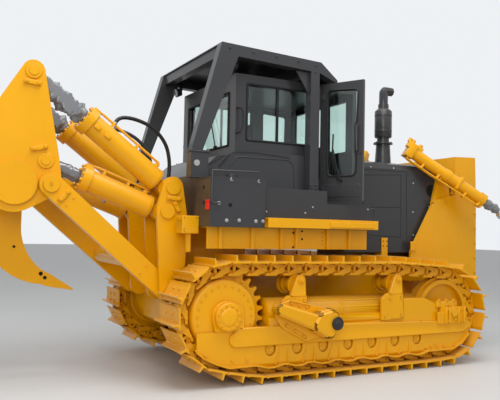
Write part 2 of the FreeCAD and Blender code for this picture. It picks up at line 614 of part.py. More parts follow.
def make_door():
    """The left door, closed. Its hinges stand on its rear edge."""
    y = (CAB_Y + GAP, CAB_Y + GAP + DOOR_THICK)
    panel = box((DOOR_REAR_X, DOOR_FRONT_X), y, (DOOR_BOTTOM_Z, DOOR_TOP_Z))
    panel = panel.cut(door_window((y[0] - 1, y[1] + 1)))
    knuckles = []
    for z in HINGE_HEIGHTS:
        knuckles.append(Part.makeCylinder(HINGE_RADIUS, HINGE_LENGTH, V(HINGE_X, HINGE_Y, z)))
        knuckles.append(box((HINGE_X, DOOR_REAR_X + 60), (y[1] - 2, y[1] + 14), (z, z + HINGE_LENGTH)))
    handle = box((DOOR_FRONT_X - 100, DOOR_FRONT_X - 60), (y[1], y[1] + 30), (2700, 2860))
    return fused([panel] + knuckles + [handle])


def make_door_glass():
    y = CAB_Y + GAP + DOOR_THICK / 2
    return door_window((y, y + GLASS))


def door_opened(shape):
    """The right door is the left one's mirror image, swung open about its hinge."""
    turned = mirrored(shape)
    turned.rotate(V(HINGE_X, -HINGE_Y, 0), V(0, 0, 1), -DOOR_OPEN)
    return turned


def make_rops():
    """Four posts and a roof frame that protect the cab, bolted to the boxes beside it."""
    half = ROPS_POST / 2
    parts = []
    for side in (1, -1):
        y = (side * ROPS_Y - half, side * ROPS_Y + half)
        foot_x, foot_z = ROPS_REAR_FOOT
        top_x, top_z = ROPS_REAR_TOP
        parts.append(slab_y(((foot_x - 55, foot_z), (foot_x + 75, foot_z), (top_x + 150, top_z - ROPS_BEAM),
                             (top_x - 60, top_z)), y))
        parts.append(box((foot_x - 55, foot_x + 150), (y[0] - 5, y[1] + 5), (TANK_TOP_Z, foot_z)))
        parts.append(box((ROPS_FRONT_X - half, ROPS_FRONT_X + half), y, (BOX_MID_TOP_Z, ROPS_FRONT_TOP_Z - 20)))
        parts.append(slab_y(((top_x - 60, top_z), (top_x - 90, top_z - ROPS_BEAM),
                             (ROPS_FRONT_X + half, ROPS_FRONT_TOP_Z - ROPS_BEAM), (VISOR_X, VISOR_Z - 20),
                             (VISOR_X, VISOR_Z + 20), (ROPS_FRONT_X + half + 20, ROPS_FRONT_TOP_Z)), y))
    roof = slab_y(((ROPS_REAR_TOP[0] - 60, ROPS_REAR_TOP[1]),
                   (ROPS_REAR_TOP[0] - 60, ROPS_REAR_TOP[1] - ROPS_PLATE),
                   (ROPS_FRONT_X + half + 20, ROPS_FRONT_TOP_Z - ROPS_PLATE), (VISOR_X, VISOR_Z + 20 - ROPS_PLATE),
                   (VISOR_X, VISOR_Z + 20), (ROPS_FRONT_X + half + 20, ROPS_FRONT_TOP_Z)),
                  (-ROPS_Y, ROPS_Y))
    parts.append(roof)
    for x, z in ((ROPS_REAR_TOP[0] - 40, ROPS_REAR_TOP[1] - ROPS_BEAM), (ROPS_FRONT_X - half, ROPS_FRONT_TOP_Z - ROPS_BEAM)):
        parts.append(box((x, x + 110), (-ROPS_Y, ROPS_Y), (z, z + ROPS_BEAM - 5)))
    return fused(parts)


def make_seat():
    floor = CAB_FLOOR_Z + CAB_FLOOR
    pedestal = box((780, 1130), (-190, 190), (floor, floor + 330))
    cushion = box((740, 1260), (-260, 260), (floor + 330, floor + 450))
    back = slab_y(((740, floor + 450), (860, floor + 450), (790, floor + 1080), (690, floor + 1080)), (-250, 250))
    return fused([pedestal, cushion, back])


def make_controls():
    floor = CAB_FLOOR_Z + CAB_FLOOR
    consoles = both(box((760, 1420), (330, 480), (floor, floor + 560)))
    dash = slab_y(((1700, floor), (1900, floor), (1900, floor + 800), (1740, floor + 860), (1650, floor + 760)),
                  (-420, 420))
    return consoles + [dash]


# Engine end
def make_hood():
    """Folded sheet cover over the engine, open below and at both ends."""
    def section(half, top, corner):
        return ((-half, HOOD_BOTTOM_Z), (half, HOOD_BOTTOM_Z), (half, top - corner), (half - corner * 0.3, top - corner * 0.3),
                (half - corner, top), (corner - half, top), (corner * 0.3 - half, top - corner * 0.3), (-half, top - corner))
    outer = slab_x(section(HOOD_Y, HOOD_TOP_Z, HOOD_CORNER), (HOOD_REAR_X, HOOD_FRONT_X))
    inner = slab_x(section(HOOD_Y - HOOD_SKIN, HOOD_TOP_Z - HOOD_SKIN, HOOD_CORNER - HOOD_SKIN / 2),
                   (HOOD_REAR_X - 1, HOOD_FRONT_X + 1))
    return outer.cut(inner)


def make_engine():
    return box(ENGINE_X, (-ENGINE_Y, ENGINE_Y), ENGINE_Z)


def make_radiator_guard():
    """Heavy welded guard round the radiator: two side plates, a top box and the front frame."""
    inside = GUARD_Y - GUARD_PLATE
    side = slab_y(((HULL_FRONT_X, GUARD_BOTTOM_Z), (GUARD_FRONT_X, GUARD_BOTTOM_Z), (GUARD_FRONT_X, 2100),
                   (GUARD_FRONT_X - 20, GUARD_TOP_Z), (HOOD_FRONT_X, GUARD_TOP_Z - 15), (HOOD_FRONT_X, GUARD_SIDE_TOP_Z),
                   GUARD_SLANT[1], GUARD_SLANT[0], (HULL_FRONT_X, GUARD_STEP_Z)), (inside, GUARD_Y))
    lining = slab_y(((HOOD_FRONT_X, GUARD_BOTTOM_Z), (GUARD_FRONT_X, GUARD_BOTTOM_Z), (GUARD_FRONT_X, 2100),
                     (GUARD_FRONT_X - 20, GUARD_TOP_Z - 60), (HOOD_FRONT_X, GUARD_TOP_Z - 75)), (inside - 60, inside))
    parts = both(side) + both(lining)
    floor = box((HULL_FRONT_X, GUARD_FRONT_X), (-inside, inside), (GUARD_BOTTOM_Z, GUARD_BOTTOM_Z + 90))
    parts.append(floor.cut(box((HULL_FRONT_X - 1, ENGINE_X[1] + 20), (GAP - HULL_Y + FRAME_RAIL, HULL_Y - FRAME_RAIL - GAP),
                               (GUARD_BOTTOM_Z - 1, GUARD_BOTTOM_Z + 91))))
    parts.append(slab_y(((HOOD_FRONT_X, GUARD_TOP_Z - 15), (HOOD_FRONT_X, HOOD_TOP_Z - 60),
                         (HOOD_FRONT_X + 40, HOOD_TOP_Z - 60), (HOOD_FRONT_X + 40, GUARD_TOP_Z - 75),
                         (GUARD_FRONT_X - 20, GUARD_TOP_Z - 60), (GUARD_FRONT_X - 20, GUARD_TOP_Z)), (-inside, inside)))
    ear_x = lift_ear_x()
    for y in (LIFT_EAR_Y, (-LIFT_EAR_Y[1], -LIFT_EAR_Y[0])):
        parts.append(outline_round(((ear_x - 170, 2080, 20), (ear_x + 160, 2080, 20), (ear_x, LIFT_PIVOT[1], 82)), y))
    guard = fused(parts)
    hole = toed(disc_y(LIFT_PIVOT, LIFT_PIN_RADIUS + FIT, (LIFT_Y - 300, LIFT_Y)))
    for drill in both(hole):
        guard = guard.cut(drill)
    return guard


def make_grille():
    """Cross bars in front of the radiator core."""
    wide = GUARD_Y - GUARD_PLATE - 60
    bars = [box((GUARD_FRONT_X - 60, GUARD_FRONT_X - 20), (-wide, wide), (z, z + 45)) for z in range(1180, 2560, 115)]
    core = box((GUARD_FRONT_X - 330, GUARD_FRONT_X - 60), (-wide, wide), (GUARD_BOTTOM_Z + 90, GUARD_TOP_Z - 160))
    return fused([core] + bars)


def make_exhaust():
    """Flared base on the hood, muffler, and a pipe that turns forward at its top."""
    bend = 140.0
    muffler_z = HOOD_TOP_Z + 210
    stack_z = muffler_z + 330
    stack_top = EXHAUST_TOP_Z - bend - STACK_RADIUS
    parts = [Part.makeCone(102, 85, 150, V(EXHAUST_X, EXHAUST_Y, HOOD_TOP_Z)),
             Part.makeCylinder(STACK_RADIUS, 60, V(EXHAUST_X, EXHAUST_Y, HOOD_TOP_Z + 150)),
             Part.makeCylinder(MUFFLER_RADIUS, stack_z - muffler_z, V(EXHAUST_X, EXHAUST_Y, muffler_z)),
             Part.makeCylinder(STACK_RADIUS, stack_top - stack_z, V(EXHAUST_X, EXHAUST_Y, stack_z))]
    ring = Part.makeTorus(bend, STACK_RADIUS, V(EXHAUST_X + bend, EXHAUST_Y, stack_top), V(0, 1, 0), 0, 360)
    quarter = box((EXHAUST_X - STACK_RADIUS - 1, EXHAUST_X + bend),
                  (EXHAUST_Y - STACK_RADIUS - 1, EXHAUST_Y + STACK_RADIUS + 1), (stack_top, EXHAUST_TOP_Z + 1))
    return fused(parts + [ring.common(quarter)])


# Blade lift cylinders
def lift_ear_x():
    """Where the slanted trunnion pin passes the middle of its ear."""
    return LIFT_PIVOT[0] + (LIFT_Y - (LIFT_EAR_Y[0] + LIFT_EAR_Y[1]) / 2) * math.tan(math.radians(LIFT_TOE))


def toed(shape):
    """Turns a shape of the left cylinder about the vertical through its pivot, to point outward."""
    turned = shape.copy()
    turned.rotate(V(LIFT_PIVOT[0], LIFT_Y, 0), V(0, 0, 1), LIFT_TOE)
    return turned


def lift_direction():
    angle = math.radians(LIFT_SLOPE)
    return (math.cos(angle), math.sin(angle))


def lift_point(distance):
    x, z = along(LIFT_PIVOT, lift_direction(), distance)
    return V(x, LIFT_Y, z)


def make_blade_barrel():
    """Cylinder on one trunnion pin, with its head and the gland where the rod comes out."""
    outer = bar(lift_point(-LIFT_BACK), lift_point(LIFT_FRONT), LIFT_BARREL_RADIUS)
    bore = bar(lift_point(-LIFT_BACK + 90), lift_point(LIFT_FRONT + 1), LIFT_ROD_RADIUS + 18)
    gland = bar(lift_point(LIFT_FRONT - 80), lift_point(LIFT_FRONT), LIFT_BARREL_RADIUS + 14)
    seal = bar(lift_point(LIFT_FRONT - 80), lift_point(LIFT_FRONT + 1), LIFT_ROD_RADIUS + FIT)
    head = bar(lift_point(-LIFT_BACK), lift_point(-LIFT_BACK + 110), LIFT_BARREL_RADIUS + 10)
    band = bar(lift_point(-42), lift_point(42), LIFT_BARREL_RADIUS + 12)
    reach = (LIFT_Y - LIFT_EAR_Y[0] - 18) / math.cos(math.radians(LIFT_TOE))
    pin = disc_y(LIFT_PIVOT, LIFT_PIN_RADIUS, (LIFT_Y - reach, LIFT_Y - LIFT_ROD_RADIUS - 20))
    bored = fused([outer, band, pin, head]).cut(bore)
    return toed(fused([bored, gland.cut(seal)]))


def make_blade_rod():
    eye = along(LIFT_PIVOT, lift_direction(), LIFT_FRONT + LIFT_ROD_OUT)
    rod = bar(lift_point(-LIFT_BACK + 200), V(eye[0], LIFT_Y, eye[1]), LIFT_ROD_RADIUS)
    piston = bar(lift_point(-LIFT_BACK + 140), lift_point(-LIFT_BACK + 202), LIFT_ROD_RADIUS + 17)
    knuckle = disc_y(eye, LIFT_EYE_RADIUS, (LIFT_Y - 50, LIFT_Y + 50))
    whole = fused([rod, piston, knuckle])
    return toed(whole.cut(disc_y(eye, 32, (LIFT_Y - 51, LIFT_Y + 51))))


# Ripper
def make_ripper_bracket():
    """Welded bracket on the rear of the hull that carries the arm and four cylinders."""
    parts = []
    # columns: plate's place across, how far its front edge stands past the hull's rear face below and above
    for y, foot, waist in ((BRACKET_Y, 20, 70), (BRACKET_INNER_Y, -20, -20)):
        plate = outline_round(((ARM_ROOT[0], ARM_ROOT[1], 112), (HULL_REAR_X + foot, 900, 20),
                               (HULL_REAR_X + waist, 1700, 20), (TILT_ROOT[0], TILT_ROOT[1], 118),
                               (RAISE_ROOT[0] - 10, RAISE_ROOT[1], 112)), y)
        parts += both(plate)
    parts.append(box((HULL_REAR_X - 45, HULL_REAR_X), (-BRACKET_Y[1], BRACKET_Y[1]), (1085, 1700)))
    parts.append(box((HULL_REAR_X - 45, HULL_REAR_X), (-HULL_Y, HULL_Y), (840, 1085)))
    for pin in (TILT_ROOT, RAISE_ROOT):
        parts += both(disc_y(pin, 82, (BRACKET_Y[1], BRACKET_Y[1] + 22)))
        parts += both(disc_y(pin, 55, (BRACKET_INNER_Y[0], BRACKET_Y[1])))
    parts += both(disc_y(ARM_ROOT, PIN_RADIUS, (BRACKET_INNER_Y[0], BRACKET_Y[1])))
    return fused(parts)


def make_ripper_arm():
    """Two deep arms joined by a cross tube, from the root pin to the ripper's frame."""
    arm = outline_round(((ARM_ROOT[0], ARM_ROOT[1], 108), (ARM_END[0], ARM_END[1], ARM_DEPTH)), ARM_Y)
    direction = unit(ARM_ROOT, ARM_END)
    tube = along(ARM_ROOT, direction, 560, 0)
    parts = both(arm) + [disc_y(tube, 95, (-ARM_Y[1] + 20, ARM_Y[1] - 20))]
    whole = fused(parts)
    for pin in (ARM_ROOT, ARM_END):
        whole = whole.cut(disc_y(pin, PIN_RADIUS + FIT, (-ARM_Y[1] - 1, ARM_Y[1] + 1)))
    return whole


def make_arm_pins():
    return both(fused([disc_y(ARM_END, PIN_RADIUS, (FRAME_PLATE_Y[0] + 2, ARM_Y[1] + 5)),
                       disc_y(ARM_END, PIN_RADIUS + 22, (ARM_Y[1] + FIT, ARM_Y[1] + 26))]))


def make_ripper_frame():
    """Two pairs of side plates joined by the round beam and by the pocket that holds the shank."""
    outline = ((BEAM_CENTRE[0], BEAM_CENTRE[1], 300), (ARM_END[0], ARM_END[1], 128), (RAISE_END[0], RAISE_END[1], 140),
               (TILT_END[0], TILT_END[1], 115), (BEAM_CENTRE[0] - 150, 2700, 130))
    parts = []
    for y in (FRAME_PLATE_Y, FRAME_INNER_Y):
        parts += both(outline_round(outline, y))
    parts.append(disc_y(BEAM_CENTRE, BEAM_RADIUS, (-FRAME_INNER_Y[1], FRAME_INNER_Y[1])))
    parts.append(disc_y(BEAM_CENTRE, BEAM_NECK, (-FRAME_PLATE_Y[0], FRAME_PLATE_Y[0])))
    parts += both(disc_y(BEAM_CENTRE, BEAM_RADIUS, (FRAME_PLATE_Y[0], FRAME_PLATE_Y[1] + 40)))
    half = SHANK_THICK / 2
    back = SHANK_FRONT_X - SHANK_WIDTH
    pocket = box((back - 70, SHANK_FRONT_X + 70), (-half - 70, half + 70), (1980, 2760))
    ribs = box((back - 40, SHANK_FRONT_X + 20), (-FRAME_INNER_Y[0], FRAME_INNER_Y[0]), (2380, 2430))
    parts += [pocket, ribs]
    frame = fused(parts)
    slot = box((back - FIT, SHANK_FRONT_X + FIT), (-half - FIT, half + FIT), (1700, SHANK_TOP_Z + 200))
    frame = frame.cut(slot)
    return frame.cut(disc_y(ARM_END, PIN_RADIUS + FIT, (-FRAME_PLATE_Y[1] - 1, FRAME_PLATE_Y[1] + 1)))


def make_shank():
    """Curved forged shank that stands in the pocket and ends in a nose for the tooth."""
    back = SHANK_FRONT_X - SHANK_WIDTH
    top_rear = V(back, 0, SHANK_TOP_Z)
    top_front = V(SHANK_FRONT_X, 0, SHANK_TOP_Z)
    bend_front = V(SHANK_FRONT_X, 0, SHANK_BEND_Z)
    bend_rear = V(back, 0, SHANK_BEND_Z + 20)
    nose_top = V(NOSE[0], 0, NOSE[1])
    nose_low = V(NOSE[0] - 10, 0, NOSE[1] - 155)
    edges = [Part.makeLine(top_rear, top_front),
             Part.makeLine(top_front, bend_front),
             Part.Arc(bend_front, V(NOSE[0] - 170, 0, NOSE[1] + 205), nose_top).toShape(),
             Part.makeLine(nose_top, nose_low),
             Part.Arc(nose_low, V(NOSE[0] - 420, 0, NOSE[1] + 25), bend_rear).toShape(),
             Part.makeLine(bend_rear, top_rear)]
    face = Part.Face(Part.Wire(edges))
    face.translate(V(0, -SHANK_THICK / 2, 0))
    return face.extrude(V(0, SHANK_THICK, 0))


def make_tooth():
    half = SHANK_THICK / 2
    side = ((NOSE[0] + FIT, NOSE[1]), (NOSE[0] - 10 + FIT, NOSE[1] - 155), (NOSE[0] + 50, NOSE[1] - 180), TIP,
            (TIP[0] - 10, TIP[1] + 25), (NOSE[0] + 90, NOSE[1] - 45))
    return slab_y(side, (-half, half))


def ripper_point(start, end, distance):
    x, z = along(start, unit(start, end), distance)
    return V(x, CYLINDER_Y, z)


def make_ripper_barrel(root, end, length):
    """Cylinder barrel with its pinned tail eye, its bore and the bolted gland at the open end."""
    tail = disc_y(root, 100, (CYLINDER_Y - EYE_WIDTH / 2, CYLINDER_Y + EYE_WIDTH / 2))
    outer = bar(ripper_point(root, end, 130), ripper_point(root, end, length - 20), CYLINDER_RADIUS)
    web = bar(ripper_point(root, end, 20), ripper_point(root, end, 135), EYE_WIDTH / 2 - 6)
    gland = bar(ripper_point(root, end, length - GLAND_LENGTH), ripper_point(root, end, length), GLAND_RADIUS)
    bore = bar(ripper_point(root, end, 210), ripper_point(root, end, length - GLAND_SEAL), CYLINDER_RADIUS - 22)
    seal = bar(ripper_point(root, end, length - GLAND_SEAL - 1), ripper_point(root, end, length + 1),
               RIPPER_ROD_RADIUS + FIT)
    barrel = fused([tail, outer, web, gland]).cut(bore).cut(seal)
    return barrel.cut(disc_y(root, 55 + FIT, (0, BRACKET_Y[1])))


def make_ripper_rod(root, end, piston_at):
    """Rod from the piston inside the barrel to the eye between the frame's plates."""
    length = math.hypot(end[0] - root[0], end[1] - root[1])
    rod = bar(ripper_point(root, end, piston_at), ripper_point(root, end, length - 40), RIPPER_ROD_RADIUS)
    piston = bar(ripper_point(root, end, piston_at), ripper_point(root, end, piston_at + PISTON),
                 CYLINDER_RADIUS - 22 - FIT)
    eye = disc_y(end, 92, (CYLINDER_Y - EYE_WIDTH / 2, CYLINDER_Y + EYE_WIDTH / 2))
    return fused([rod, piston, eye])


def build():
    nodes = {}
    for name, maker in (("track", make_track), ("track_frame", make_track_frame)):
        left = maker()
        nodes[name + "_left"] = [left]
        nodes[name + "_right"] = [mirrored(left)]
    rollers = make_rollers()
    nodes["rollers_left"] = rollers
    nodes["rollers_right"] = [mirrored(wheel) for wheel in rollers]
    for name, maker in (("sprockets", make_sprocket), ("idlers", make_idler), ("final_drives", make_final_drive),
                        ("trunnions", make_trunnion), ("steps", make_step)):
        nodes[name] = both(maker())
    boxes = make_side_boxes()
    nodes["side_boxes_left"] = [boxes]
    nodes["side_boxes_right"] = [mirrored(boxes)]
    for name, maker in (("hull", make_hull), ("belly_guard", make_belly_guard), ("equalizer_bar", make_equalizer),
                        ("deck_frame", make_deck), ("fuel_tank", make_fuel_tank), ("cab_shell", make_cab_shell),
                        ("rops", make_rops), ("seat", make_seat), ("hood", make_hood), ("engine", make_engine),
                        ("radiator_guard", make_radiator_guard), ("grille", make_grille),
                        ("exhaust", make_exhaust), ("ripper_bracket", make_ripper_bracket),
                        ("ripper_arm", make_ripper_arm), ("ripper_frame", make_ripper_frame),
                        ("shank", make_shank), ("tooth", make_tooth), ("door_left", make_door),
                        ("door_left_glass", make_door_glass)):
        nodes[name] = [maker()]
    nodes["door_right"] = [door_opened(nodes["door_left"][0])]
    nodes["door_right_glass"] = [door_opened(nodes["door_left_glass"][0])]
    nodes["cab_glass"] = make_cab_glass()
    nodes["controls"] = make_controls()
    nodes["arm_pins"] = make_arm_pins()
    nodes["tilt_barrels"] = both(make_ripper_barrel(TILT_ROOT, TILT_END, TILT_BARREL))
    nodes["tilt_rods"] = both(make_ripper_rod(TILT_ROOT, TILT_END, 760))
    nodes["lift_barrels"] = both(make_ripper_barrel(RAISE_ROOT, RAISE_END, RAISE_BARREL))
    nodes["lift_rods"] = both(make_ripper_rod(RAISE_ROOT, RAISE_END, 215))
    for name, maker in (("blade_barrel", make_blade_barrel), ("blade_rod", make_blade_rod)):
        left = maker()
        nodes[name + "_left"] = [left]
        nodes[name + "_right"] = [mirrored(left)]
    return nodes


def export(nodes):
    """Move the machine so that its origin is under the middle of its box, and write each node."""
    os.makedirs("parts", exist_ok=True)
    whole = FreeCAD.BoundBox()
    for solids in nodes.values():
        for solid in solids:
            whole.add(solid.BoundBox)
    shift = V(-whole.Center.x, 0, 0)
    print("sprocket axis at x = %.3f" % shift.x)
    print("box %.1f x %.1f x %.1f, lowest %.3f" % (whole.XLength, whole.YLength, whole.ZLength, whole.ZMin))
    for name in sorted(nodes):
        solids = nodes[name]
        shape = solids[0] if len(solids) == 1 else Part.makeCompound(solids)
        shape.translate(shift)
        shape.exportStep("parts/" + name + ".step")
        print("%-18s solids %2d  valid %s  volume %.4f m3" % (name, len(shape.Solids), shape.isValid(), shape.Volume / 1e9))


export(build())
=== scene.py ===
import bpy
import bmesh
import math
from mathutils import Matrix, Vector, noise


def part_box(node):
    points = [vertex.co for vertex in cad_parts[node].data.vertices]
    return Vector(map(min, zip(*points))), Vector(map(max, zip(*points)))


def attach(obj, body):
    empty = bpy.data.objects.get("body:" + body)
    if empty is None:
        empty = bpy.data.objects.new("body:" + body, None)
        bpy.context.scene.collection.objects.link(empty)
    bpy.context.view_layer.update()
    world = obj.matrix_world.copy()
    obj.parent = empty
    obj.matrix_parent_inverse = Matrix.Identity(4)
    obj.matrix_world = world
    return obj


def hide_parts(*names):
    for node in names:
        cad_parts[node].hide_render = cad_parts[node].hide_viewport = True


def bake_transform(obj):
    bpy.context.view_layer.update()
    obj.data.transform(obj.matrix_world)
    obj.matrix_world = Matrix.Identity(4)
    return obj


# The look of a track bulldozer with a rear ripper, standing in a hall without its blade.
# Lengths are given as the machine is drawn: millimetres from the sprocket's axis, the middle
# plane and the ground. mm() turns them into the frame's metres.
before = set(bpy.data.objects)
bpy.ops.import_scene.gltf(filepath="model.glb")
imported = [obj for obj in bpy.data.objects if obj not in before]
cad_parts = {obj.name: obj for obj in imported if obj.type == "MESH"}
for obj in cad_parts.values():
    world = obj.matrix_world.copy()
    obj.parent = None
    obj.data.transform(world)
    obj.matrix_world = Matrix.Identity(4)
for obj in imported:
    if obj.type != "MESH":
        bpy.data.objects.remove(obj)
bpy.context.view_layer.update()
scene = bpy.context.scene

low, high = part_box("sprockets")
SPROCKET_X = (low.x + high.x) / 2
SPROCKET_Z = (low.z + high.z) / 2


def mm(x, y, z):
    return Vector((SPROCKET_X + x / 1000, y / 1000, z / 1000))


# The camera stands at the machine's right rear, at the height of a person's eyes, and looks
# along it with a normal lens.
CAMERA_PLACE = (-3032, -7570, 1633)
CAMERA_YAW = math.radians(62.49)
CAMERA_PITCH = math.radians(2.77)
CAMERA_ROLL = math.radians(1.19)
CAMERA_LENS = 47.33

forward = Vector((math.cos(CAMERA_YAW) * math.cos(CAMERA_PITCH),
                  math.sin(CAMERA_YAW) * math.cos(CAMERA_PITCH), math.sin(CAMERA_PITCH)))
level = Vector((math.sin(CAMERA_YAW), -math.cos(CAMERA_YAW), 0))
upright = level.cross(forward)
right = math.cos(CAMERA_ROLL) * level + math.sin(CAMERA_ROLL) * upright
above = math.cos(CAMERA_ROLL) * upright - math.sin(CAMERA_ROLL) * level
lens = bpy.data.cameras.new("camera")
lens.lens = CAMERA_LENS
lens.sensor_width = 36
camera = bpy.data.objects.new("camera", lens)
camera.matrix_world = Matrix((right, above, -forward)).transposed().to_4x4()
camera.location = mm(*CAMERA_PLACE)
scene.collection.objects.link(camera)
scene.camera = camera

# The floor is pale screed, large enough that its edge is out of sight, under a pale sky of
# soft light with two large lamps.
FLOOR_HALF = 60.0
FLOOR_COLOUR = (0.62, 0.62, 0.61, 1)
SKY_COLOUR = (0.86, 0.88, 0.90, 1)


def add_node(tree, kind, **values):
    """A shader node with its inputs set; their names have underscores for spaces."""
    node = tree.nodes.new("ShaderNode" + kind)
    for name, value in values.items():
        node.inputs[name.replace("_", " ")].default_value = value
    return node


def add_math(tree, operation, *values, clamp=False):
    """A math node whose values are numbers or the outputs of other nodes."""
    node = tree.nodes.new("ShaderNodeMath")
    node.operation = operation
    node.use_clamp = clamp
    for socket, value in zip(node.inputs, values):
        if isinstance(value, (int, float)):
            socket.default_value = value
        else:
            tree.links.new(value, socket)
    return node.outputs[0]


bm = bmesh.new()
bmesh.ops.create_grid(bm, x_segments=2, y_segments=2, size=FLOOR_HALF)
ground = bpy.data.meshes.new("floor")
bm.to_mesh(ground)
bm.free()
floor = bpy.data.objects.new("floor", ground)
scene.collection.objects.link(floor)
screed = bpy.data.materials.new("floor_screed")
screed.use_nodes = True
tree = screed.node_tree
shader = tree.nodes["Principled BSDF"]
shader.inputs["Roughness"].default_value = 0.6
where = add_node(tree, "TexCoord")
blotches = add_node(tree, "TexNoise", Scale=0.7, Detail=6)
tree.links.new(where.outputs["Object"], blotches.inputs["Vector"])
tone = add_node(tree, "ValToRGB")
tone.color_ramp.elements[0].color = tuple(part * 0.9 for part in FLOOR_COLOUR[:3]) + (1,)
tone.color_ramp.elements[1].color = FLOOR_COLOUR
tree.links.new(blotches.outputs["Fac"], tone.inputs["Fac"])
tree.links.new(tone.outputs["Color"], shader.inputs["Base Color"])
ground.materials.append(screed)

world = bpy.data.worlds.new("hall")
scene.world = world
world.use_nodes = True
tree = world.node_tree
backdrop = tree.nodes["Background"]
backdrop.inputs["Color"].default_value = SKY_COLOUR
backdrop.inputs["Strength"].default_value = 0.52
seen = add_node(tree, "Background", Color=SKY_COLOUR, Strength=1.0)
ray = add_node(tree, "LightPath")
share = ray.outputs["Is Camera Ray"]
for name in ("Is Glossy Ray", "Is Transmission Ray"):
    share = add_math(tree, "MAXIMUM", share, ray.outputs[name])
mix = add_node(tree, "MixShader")
tree.links.new(share, mix.inputs["Fac"])
tree.links.new(backdrop.outputs[0], mix.inputs[1])
tree.links.new(seen.outputs[0], mix.inputs[2])
tree.links.new(mix.outputs[0], tree.nodes["World Output"].inputs["Surface"])

# columns: name, place, power in watts, size in metres
LAMPS = (("lamp_over", (500, -3000, 9000), 680, 7.0),
         ("lamp_side", (-5000, -9000, 5000), 330, 5.0))
for name, place, power, size in LAMPS:
    light = bpy.data.lights.new(name, "AREA")
    light.energy = power
    light.size = size
    lamp = bpy.data.objects.new(name, light)
    lamp.location = mm(*place)
    aim = mm(1200, 0, 1500) - lamp.location
    lamp.rotation_euler = aim.to_track_quat("-Z", "Y").to_euler()
    scene.collection.objects.link(lamp)

# Hull and belly guard: the welded main frame, in the yellow enamel that covers most of the
# machine. The enamel is glossy, a little uneven from the spray gun, thin and dusty in places.
YELLOW = (0.79, 0.365, 0.0)
GREY = (0.038, 0.038, 0.040)


def surface_group():
    """Paint laid over steel: uneven colour, thin worn edges and dust on what faces up."""
    group = bpy.data.node_groups.new("sprayed_paint", "ShaderNodeTree")
    # columns: name, kind of socket, value
    for name, kind, value in (("Paint", "NodeSocketColor", (0.8, 0.8, 0.8, 1)),
                              ("Worn", "NodeSocketColor", (0.3, 0.3, 0.3, 1)),
                              ("Dust", "NodeSocketColor", (0.4, 0.36, 0.3, 1)),
                              ("Edge", "NodeSocketFloat", 0.0), ("Wear", "NodeSocketFloat", 0.3),
                              ("Dust amount", "NodeSocketFloat", 0.2), ("Gloss", "NodeSocketFloat", 0.3)):
        socket = group.interface.new_socket(name, in_out="INPUT", socket_type=kind)
        socket.default_value = value
    for name, kind in (("Colour", "NodeSocketColor"), ("Roughness", "NodeSocketFloat"),
                       ("Height", "NodeSocketFloat")):
        group.interface.new_socket(name, in_out="OUTPUT", socket_type=kind)
    links = group.links
    given = group.nodes.new("NodeGroupInput")
    result = group.nodes.new("NodeGroupOutput")
    where = add_node(group, "TexCoord")

    def mottle(scale, detail):
        node = add_node(group, "TexNoise", Scale=scale, Detail=detail)
        links.new(where.outputs["Object"], node.inputs["Vector"])
        return node.outputs["Fac"]

    def sums(operation, *values, clamp=False):
        return add_math(group, operation, *values, clamp=clamp)

    def blend(share, first, second):
        node = add_node(group, "Mix")
        node.data_type = "RGBA"
        links.new(share, node.inputs["Factor"])
        links.new(first, node.inputs["A"])
        links.new(second, node.inputs["B"])
        return node.outputs["Result"]

    broad = mottle(1.3, 3)
    grain = mottle(240.0, 2)
    specks = mottle(34.0, 6)
    shade = add_node(group, "HueSaturation")
    links.new(given.outputs["Paint"], shade.inputs["Color"])
    links.new(sums("MULTIPLY_ADD", broad, 0.22, 0.89), shade.inputs["Value"])
    worn_here = sums("MULTIPLY", given.outputs["Edge"], given.outputs["Wear"])
    broken = sums("SUBTRACT", sums("ADD", worn_here, specks), 1.0, clamp=True)
    worn_share = sums("MULTIPLY", broken, 6.0, clamp=True)
    colour = blend(worn_share, shade.outputs["Color"], given.outputs["Worn"])
    facing = add_node(group, "NewGeometry")
    split = add_node(group, "SeparateXYZ")
    links.new(facing.outputs["True Normal"], split.inputs[0])
    upward = sums("MULTIPLY", sums("MAXIMUM", split.outputs["Z"], 0.0), sums("ADD", specks, -0.1))
    dusty = sums("MULTIPLY", upward, given.outputs["Dust amount"], clamp=True)
    colour = blend(dusty, colour, given.outputs["Dust"])
    links.new(colour, result.inputs["Colour"])
    rough = sums("ADD", given.outputs["Gloss"], sums("MULTIPLY", sums("ADD", broad, -0.5), 0.12))
    rough = sums("ADD", rough, sums("MULTIPLY", dusty, 0.5))
    rough = sums("ADD", rough, sums("MULTIPLY", worn_share, 0.15), clamp=True)
    links.new(rough, result.inputs["Roughness"])
    links.new(sums("SUBTRACT", sums("MULTIPLY", grain, 0.25), worn_share), result.inputs["Height"])
    return group


SPRAYED = surface_group()


